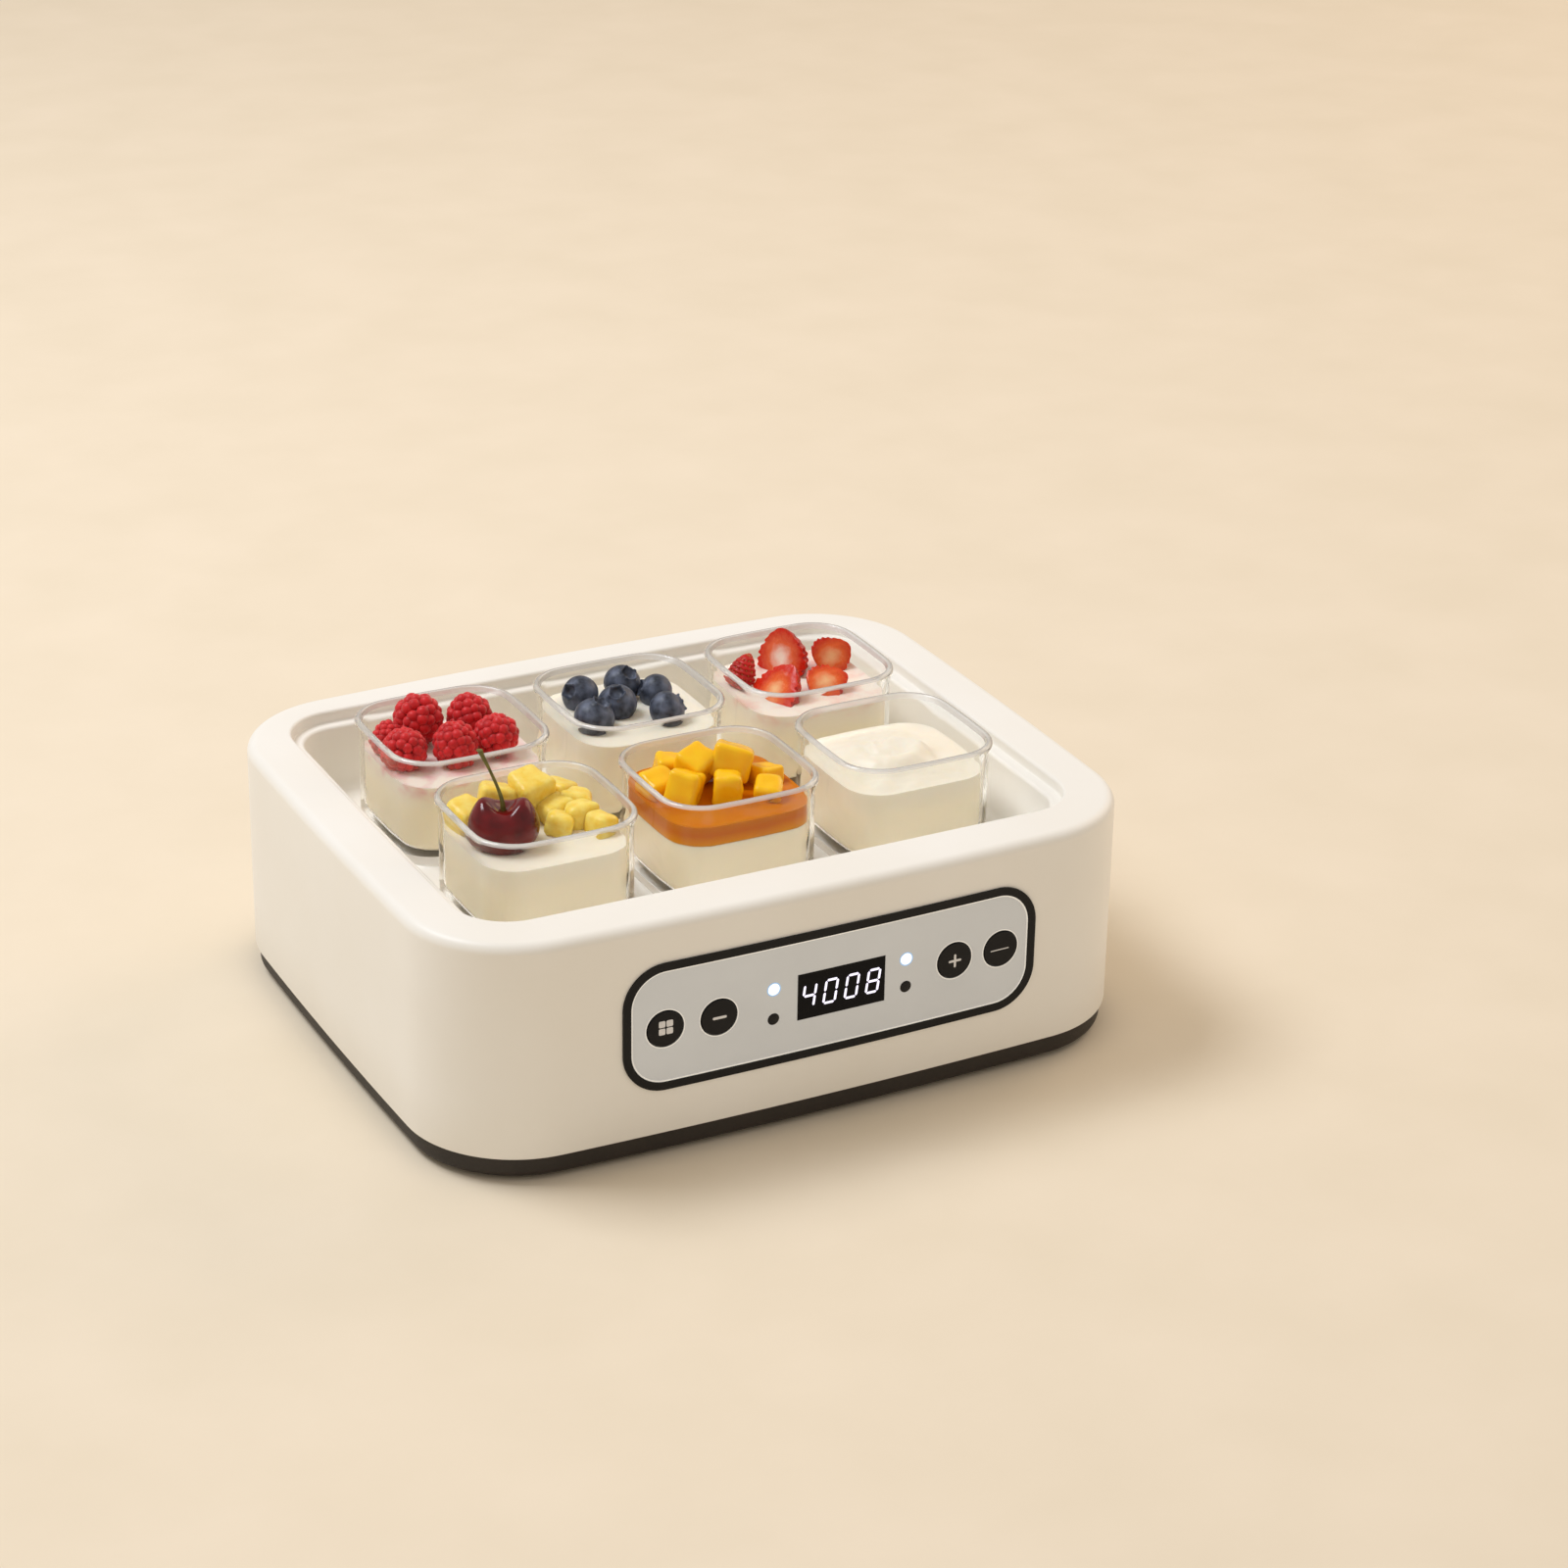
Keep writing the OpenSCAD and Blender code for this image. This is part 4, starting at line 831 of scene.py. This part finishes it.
def blueberry(name, x, y, z, r, turn, seed, finish):
    """One berry turned from its profile, crown up, then leaned over. Three rings of the
    profile, the highest, carry the crown's points."""
    steps, verts = 40, []
    profile = [(math.sin(math.radians(a))*r, -math.cos(math.radians(a))*r*0.9) for a in range(6, 150, 8)]
    profile += [(r*0.48, r*0.785), (r*0.43, r*0.86), (r*0.39, r*0.9), (r*0.35, r*0.84), (r*0.31, r*0.7),
                (r*0.2, r*0.64), (r*0.06, r*0.65)]
    n = len(profile)
    for i, (pr, pz) in enumerate(profile):
        for k in range(steps):
            a = 2*math.pi*k/steps
            crown = max(0, math.cos(5*a))**0.7 if n - 6 <= i <= n - 4 else 0
            rr = pr*(1 + 0.16*crown)
            q = Vector((rr*math.cos(a), rr*math.sin(a), pz + crown*r*0.06))
            q *= 1 + 0.02*noise.noise(q/4 + Vector((seed, 0, 0)))
            verts.append(tuple(turn @ q/1000))
    faces = wall_faces(n - 1, steps) + [list(range(steps))[::-1], [(n - 1)*steps + k for k in range(steps)]]
    made = piece(name, verts, faces, finish, "filled_jar_back_middle", crease=180,
                 place=in_jar("back_middle", x, y, z))
    stands_for("blueberries")


# Blueberry skin: blue-black under a grey-blue wax bloom that is rubbed off in patches.
waxed_skin = surface("blueberry skin with bloom", "#20252f", "#687186", 4.5, 0.42, 0.2, 0.05, 1.4, IOR=1.42,
                     Specular_IOR_Level=0.4)
for i, (x, y, z, r, lean, spin) in enumerate([
        (-13.3, 14.9, 37.4, 7.3, 62, 290), (5.4, 17, 37.8, 7.3, 34, 20), (-4, 1.5, 37.4, 7.5, 28, 330),
        (14.6, 6.9, 36.6, 6.9, 70, 250), (11, -10.6, 36.6, 7.3, 66, 80),
        (-17.2, -6.4, 37.2, 7.8, 24, 60)], 1):
    blueberry(f"blueberry_{i}", x, y, z, r, turned(lean, 0, spin), spin, waxed_skin)

# ---------------------------------------------------------------- strawberries
# Ripe berries cut lengthways, so that a pale pink heart shows inside a red rim. Small
# straw-coloured seeds sit in dimples of the skin.


def cut_flesh(name, rim, mid, heart, reach):
    """Cut fruit: pale in the middle of the piece and redder outwards, to about reach
    millimetres, with an uneven edge between."""
    made = surface(name, rim, rim, 6, 0.26, 0.12, 0.12, 1.5, IOR=1.37, Subsurface_Weight=0.25,
                   Subsurface_Radius=(1.0, 0.35, 0.25), Subsurface_Scale=0.003)
    tree = made.node_tree
    place = add(tree, "ShaderNodeTexCoord").outputs["Object"]
    squashed = add(tree, "ShaderNodeMapping", {"Vector": place, "Scale": (1, 1, 0.85)}).outputs[0]
    far = add(tree, "ShaderNodeVectorMath", {0: squashed}, operation="LENGTH").outputs["Value"]
    rays = add(tree, "ShaderNodeTexNoise", {"Vector": place, "Scale": 1000/2.6, "Detail": 3.0}).outputs["Fac"]
    shift = add(tree, "ShaderNodeMath", {0: rays, 1: 0.0035, 2: far}, operation="MULTIPLY_ADD")
    spread = add(tree, "ShaderNodeMapRange", {"Value": shift.outputs[0], "From Min": reach*0.35/1000,
                                              "From Max": reach*1.3/1000})
    ramp = add(tree, "ShaderNodeValToRGB", {"Fac": spread.outputs[0]})
    ramp.color_ramp.elements[0].color = linear(heart)
    ramp.color_ramp.elements[1].color = linear(rim)
    ramp.color_ramp.elements.new(0.5).color = linear(mid)
    tree.links.new(ramp.outputs[0], tree.nodes["Principled BSDF"].inputs["Base Color"])
    return made


# Strawberry skin: red and wet, light goes a little way in.
strawberry_skin = surface("strawberry skin, wet", "#c81f16", "#a81310", 5, 0.3, 0.14, 0.1, 1.8, IOR=1.37,
                          Subsurface_Weight=0.3, Subsurface_Radius=(1.0, 0.2, 0.12), Subsurface_Scale=0.003)
# A seed's husk is straw coloured and dry against the skin.
seed_husk = surface("strawberry seed", "#dcae58", "#c08a38", 1, 0.45, 0.1, 0.02, 0.4, IOR=1.45)
seed_verts, seed_faces = bead_template(1)


def strawberry(name, x, y, z, r, length, turn, flesh):
    """Half a berry, its tip up and its cut face towards -Y, before it is turned."""
    around, across, rows, heart_at = 28, 14, 40, 0.42
    seed_rows, seed_columns, pit_reach, pit_slope = 8, 7, 0.34, 3.3
    verts = []

    def swell(t):
        """Radius from the stem end, t = 0, to the tip, t = 1."""
        return r*math.sin(math.pi*t**0.62)**0.55*(1 + 0.028*math.cos(t*2*seed_rows*math.pi))

    for i in range(rows + 1):
        t = min(max(i/rows, 0.004), 0.996)
        for k in range(around + 1):
            a = math.pi*k/around
            p = Vector((math.cos(a), math.sin(a), 0))
            bump = 0.05*noise.noise(Vector((p.x*2, p.y*2, t*3 + x)))
            row = t*seed_rows
            column = k/around*seed_columns + (int(row) % 2)*0.5
            dent = min(math.hypot(row % 1 - 0.5, column % 1 - 0.5), pit_reach)
            p *= swell(t)*(1 + bump) - (pit_reach - dent)*pit_slope*(0.04 < t < 0.97)
            verts.append(p + Vector((0, 0, (t - heart_at)*length)))
        for k in range(1, across):
            u = -1 + 2*k/across
            sag = 0.5*(1 - u*u) + 0.3*noise.noise(Vector((u*3, t*4, x)))
            verts.append(Vector((u*swell(t), -sag*min(1, swell(t)/r*1.5), (t - heart_at)*length)))
    ring = around + across
    faces = wall_faces(rows, ring) + [list(range(ring))[::-1], [rows*ring + k for k in range(ring)]]
    tags = [0 if k < around else 1 for _ in range(rows) for k in range(ring)] + [0, 0]
    for i in range(1, seed_rows):
        for k in range(seed_columns):
            t = (i + 0.5)/seed_rows
            a = math.pi*(k + 0.5 - (i % 2)*0.5)/seed_columns
            if not 0.15 < a < math.pi - 0.15:
                continue
            out = Vector((math.cos(a), math.sin(a), 0.2)).normalized()
            seat = Vector((math.cos(a), math.sin(a), 0))*(swell(t) - 0.75)
            seat += Vector((0, 0, (t - heart_at)*length))
            up = (Vector((0, 0, 1)) - out*out.z).normalized()
            side = out.cross(up)
            begin = len(verts)
            verts += [seat + side*v.x*0.36 + up*v.z*0.62 + out*v.y*0.3 for v in seed_verts]
            faces += [[j + begin for j in f] for f in seed_faces]
            tags += [2]*len(seed_faces)
    heart = turn @ Vector((0, 0, heart_at*length))
    made = piece(name, [tuple(v/1000) for v in verts], faces, strawberry_skin, "filled_jar_back_right",
                 crease=50, place=in_jar("back_right", x + heart.x, y + heart.y, z + heart.z))
    made.rotation_euler = turn.to_euler()
    made.data.materials.append(flesh)
    made.data.materials.append(seed_husk)
    for face, tag in zip(made.data.polygons, tags):
        face.material_index = tag
    stands_for("strawberries")


# Cut flesh: wet, and pale in the middle with a ragged edge towards the red rim.
white_heart = cut_flesh("strawberry flesh, white heart", "#cc2410", "#e86f44", "#fbe9da", reach=8.6)
blush_heart = cut_flesh("strawberry flesh, blush heart", "#d02a10", "#e8682e", "#f6bd88", reach=7.4)
for i, (x, y, z, r, length, rx, ry, rz, flesh) in enumerate([
        (-1.2, 11.5, 29.5, 10.6, 20.2, -12, -8, -56, white_heart),
        (13.3, 9.5, 33.6, 8.4, 15, -33, 55, -50, blush_heart),
        (0.6, -7.6, 33.6, 7.6, 16, -75, 38, -93, blush_heart),
        (-19.3, -7.4, 28, 11, 20.5, -39, 9, -81, blush_heart),
        (-19.6, 9.7, 30.4, 6.7, 13.6, 18, 0, 100, blush_heart)], 1):
    strawberry(f"strawberry_{i}", x, y, z, r, length, turned(rx, ry, rz), flesh)

# ---------------------------------------------------------------- pineapple
# Chunks cut across the core: wet yellow flesh with fibres that run from the core outwards,
# corners softened where the knife has dragged.


def chunk(name, spot, x, y, z, size, turn, finish, soft, rough, seed, taper):
    """A knife-cut lump with softened corners, uneven faces and the sides of a wedge."""
    made = bmesh.new()
    bmesh.ops.create_cube(made, size=1)
    for v in made.verts:
        v.co = Vector((v.co.x*size[0]*(1 - taper*(v.co.y + 0.5)),
                       v.co.y*size[1],
                       v.co.z*size[2]*(1 - taper*0.5*(v.co.x + 0.5))))
    bmesh.ops.bevel(made, geom=list(made.edges), offset=soft, segments=4, profile=0.5, affect="EDGES")
    long_edges = [e for e in made.edges if e.calc_length() > soft*1.2]
    bmesh.ops.subdivide_edges(made, edges=long_edges, cuts=4, use_grid_fill=True)
    bmesh.ops.triangulate(made, faces=[f for f in made.faces if len(f.verts) > 4])
    for v in made.verts:
        push = noise.noise(v.co/5 + Vector((seed, 0, 0)))*rough
        push += noise.noise(v.co/2 + Vector((0, seed, 0)))*rough*0.3
        v.co += v.co.normalized()*push
    bmesh.ops.transform(made, matrix=Matrix.Scale(0.001, 4) @ turn, verts=made.verts)
    mesh = bpy.data.meshes.new(name)
    made.to_mesh(mesh)
    made.free()
    mesh.materials.append(finish)
    mesh.shade_smooth()
    lump = bpy.data.objects.new(name, mesh)
    bpy.context.scene.collection.objects.link(lump)
    lump.location = in_jar(spot, x, y, z)
    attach(lump, "filled_jar_" + spot)
    return lump


# Pineapple flesh: translucent yellow, cloudy every few millimetres and rough from its cut fibres.
pineapple_flesh = surface("pineapple flesh", "#fbe37c", "#f3cc44", 4.0, 0.34, 0.14, 0.4, 1.6, IOR=1.37,
                          Subsurface_Weight=0.4, Subsurface_Radius=(1.0, 0.8, 0.25), Subsurface_Scale=0.004)
for i, (x, y, z, size, turn) in enumerate([
        (-19.4, 16.4, 34.8, (14.4, 13.2, 11), (10, -8, 20)),
        (-7.5, 18.4, 36.4, (14.4, 13.4, 14), (-12, 8, -15)),
        (5, 16.2, 39, (15.4, 14.2, 16), (14, -10, 12)), (16.3, 18, 35.4, (14.2, 12, 11), (5, 12, 40)),
        (20, 10, 34.4, (13.2, 12, 10), (-8, 5, -30)), (11, 7.8, 34.2, (14, 11.4, 10), (6, -12, 15)),
        (8.5, -1.8, 33.2, (12, 10.2, 9), (10, 6, 60)), (17.6, 0.6, 33.8, (13, 11, 11), (-6, -10, 5)),
        (21.4, -8, 32.8, (10.4, 11, 10), (4, 8, 25))], 1):
    lump = chunk(f"pineapple_{i}", "front_left", x, y, z, size, turned(*turn, 4), pineapple_flesh,
                 soft=2.6, rough=0.55, seed=i*3.7, taper=0.24)
    stands_for("pineapple_chunks")

# ---------------------------------------------------------------- cherry
# One dark cherry on its stalk, lying against the glass: a taut mirror-like skin, two round
# shoulders, and a deep dimple between them where the stalk goes in.

# Cherry skin: nearly black red, mirrors a lamp as one small hard glint.
cherry_skin = surface("cherry skin, taut and glossy", "#720810", "#4c050a", 7, 0.13, 0.06, 0.02, 3, IOR=1.42,
                      Specular_IOR_Level=0.55)
# The stalk is olive and brown, dry and a little rough.
cherry_stalk = surface("cherry stalk", "#77702c", "#4f4c1c", 3, 0.42, 0.15, 0.1, 0.8, IOR=1.45)
cherry_c = Vector((-13.8, -3.3, 38))
cherry_r, dimple_depth, shoulder_h = 12.5, 5.2, 1.9
shoulder_turn = math.radians(-26)
around, rows = 72, 44
verts = []
for i in range(rows + 1):
    a = -math.pi/2 + math.pi*i/rows
    for k in range(around):
        b = 2*math.pi*k/around
        lobe = math.cos(2*(b - shoulder_turn))
        dip = math.exp(-((math.pi/2 - a)/0.42)**2)
        rr = cherry_r*math.cos(a)*(1 + 0.03*lobe)
        zz = cherry_r*0.88*math.sin(a) - dimple_depth*dip + shoulder_h*lobe*math.exp(-((a - 0.95)/0.36)**2)
        verts.append((rr*math.cos(b)/1000, rr*math.sin(b)*0.97/1000, zz/1000))
cherry = piece("dark_cherry", verts, wall_faces(rows, around), cherry_skin, "filled_jar_front_left",
               crease=180, place=in_jar("front_left", *cherry_c))
stands_for("cherry")

stalk_path = [Vector(p) for p in ((0, 0, 5.2), (-0.4, 0.4, 10), (-1.6, 1.8, 15), (-3.4, 3.6, 20.5),
                                  (-5.4, 5.8, 26), (-6.0, 6.4, 27.6))]
stalk_r = [1.1, 0.75, 0.62, 0.62, 0.9, 1.2]
span_steps, stalk_sides = 6, 14
rings = []
# A smooth curve through the path's points, span_steps to each span.
for i in range((len(stalk_path) - 1)*span_steps + 1):
    j = min(i//span_steps, len(stalk_path) - 2)
    f = i/span_steps - j
    a, b = stalk_path[max(j - 1, 0)], stalk_path[j]
    c, d = stalk_path[j + 1], stalk_path[min(j + 2, len(stalk_path) - 1)]
    p = 0.5*(2*b + (c - a)*f + (2*a - 5*b + 4*c - d)*f*f + (3*b - a - 3*c + d)*f**3)
    r = stalk_r[j] + (stalk_r[j + 1] - stalk_r[j])*f
    rings.append([(x/1000, y/1000, p.z/1000) for x, y in disc(p.x, p.y, r, stalk_sides)])
stalk = skin("stalk", rings, cherry_stalk, "filled_jar_front_left", crease=60,
             place=in_jar("front_left", *cherry_c))
stands_for("cherry_stem")

# ---------------------------------------------------------------- mango cubes
# Ripe mango cut in cubes and heaped in the sauce: smooth wet faces, corners rounded by
# handling, deep orange-yellow that glows where light goes through a corner.

# Mango flesh: smooth and wet, the same colour through and through.
mango_flesh = surface("mango flesh", "#ffcd1e", "#fdbb10", 9, 0.22, 0.1, 0.14, 3.5, IOR=1.37,
                      Subsurface_Weight=0.25, Subsurface_Radius=(1.0, 0.7, 0.1), Subsurface_Scale=0.004)
for i, (x, y, z, size, turn) in enumerate([
        (-4.6, 9.6, 39.6, (14, 12, 13), (20, -12, 24)), (8.6, 6.3, 40.2, (15, 13, 13), (-16, 14, -30)),
        (-14.5, -1.9, 37.4, (12, 12, 13), (8, 16, 48)), (0.3, -7.2, 36.8, (11, 10.5, 12), (-4, 3, -28)),
        (-19, 10.6, 33.8, (13, 12, 11), (12, -6, 12)), (14.4, -11, 34, (11, 10, 10), (6, -14, 60)),
        (19.8, 1, 33.8, (11, 11, 10), (-10, 6, 15)), (-10.4, 19.2, 35.6, (12, 10, 11), (8, 10, -12))], 1):
    lump = chunk(f"mango_{i}", "front_middle", x, y, z, size, turned(*turn, 4), mango_flesh,
                 soft=2.0, rough=0.7, seed=i*5.1, taper=0.1)
    stands_for("mango_cubes")
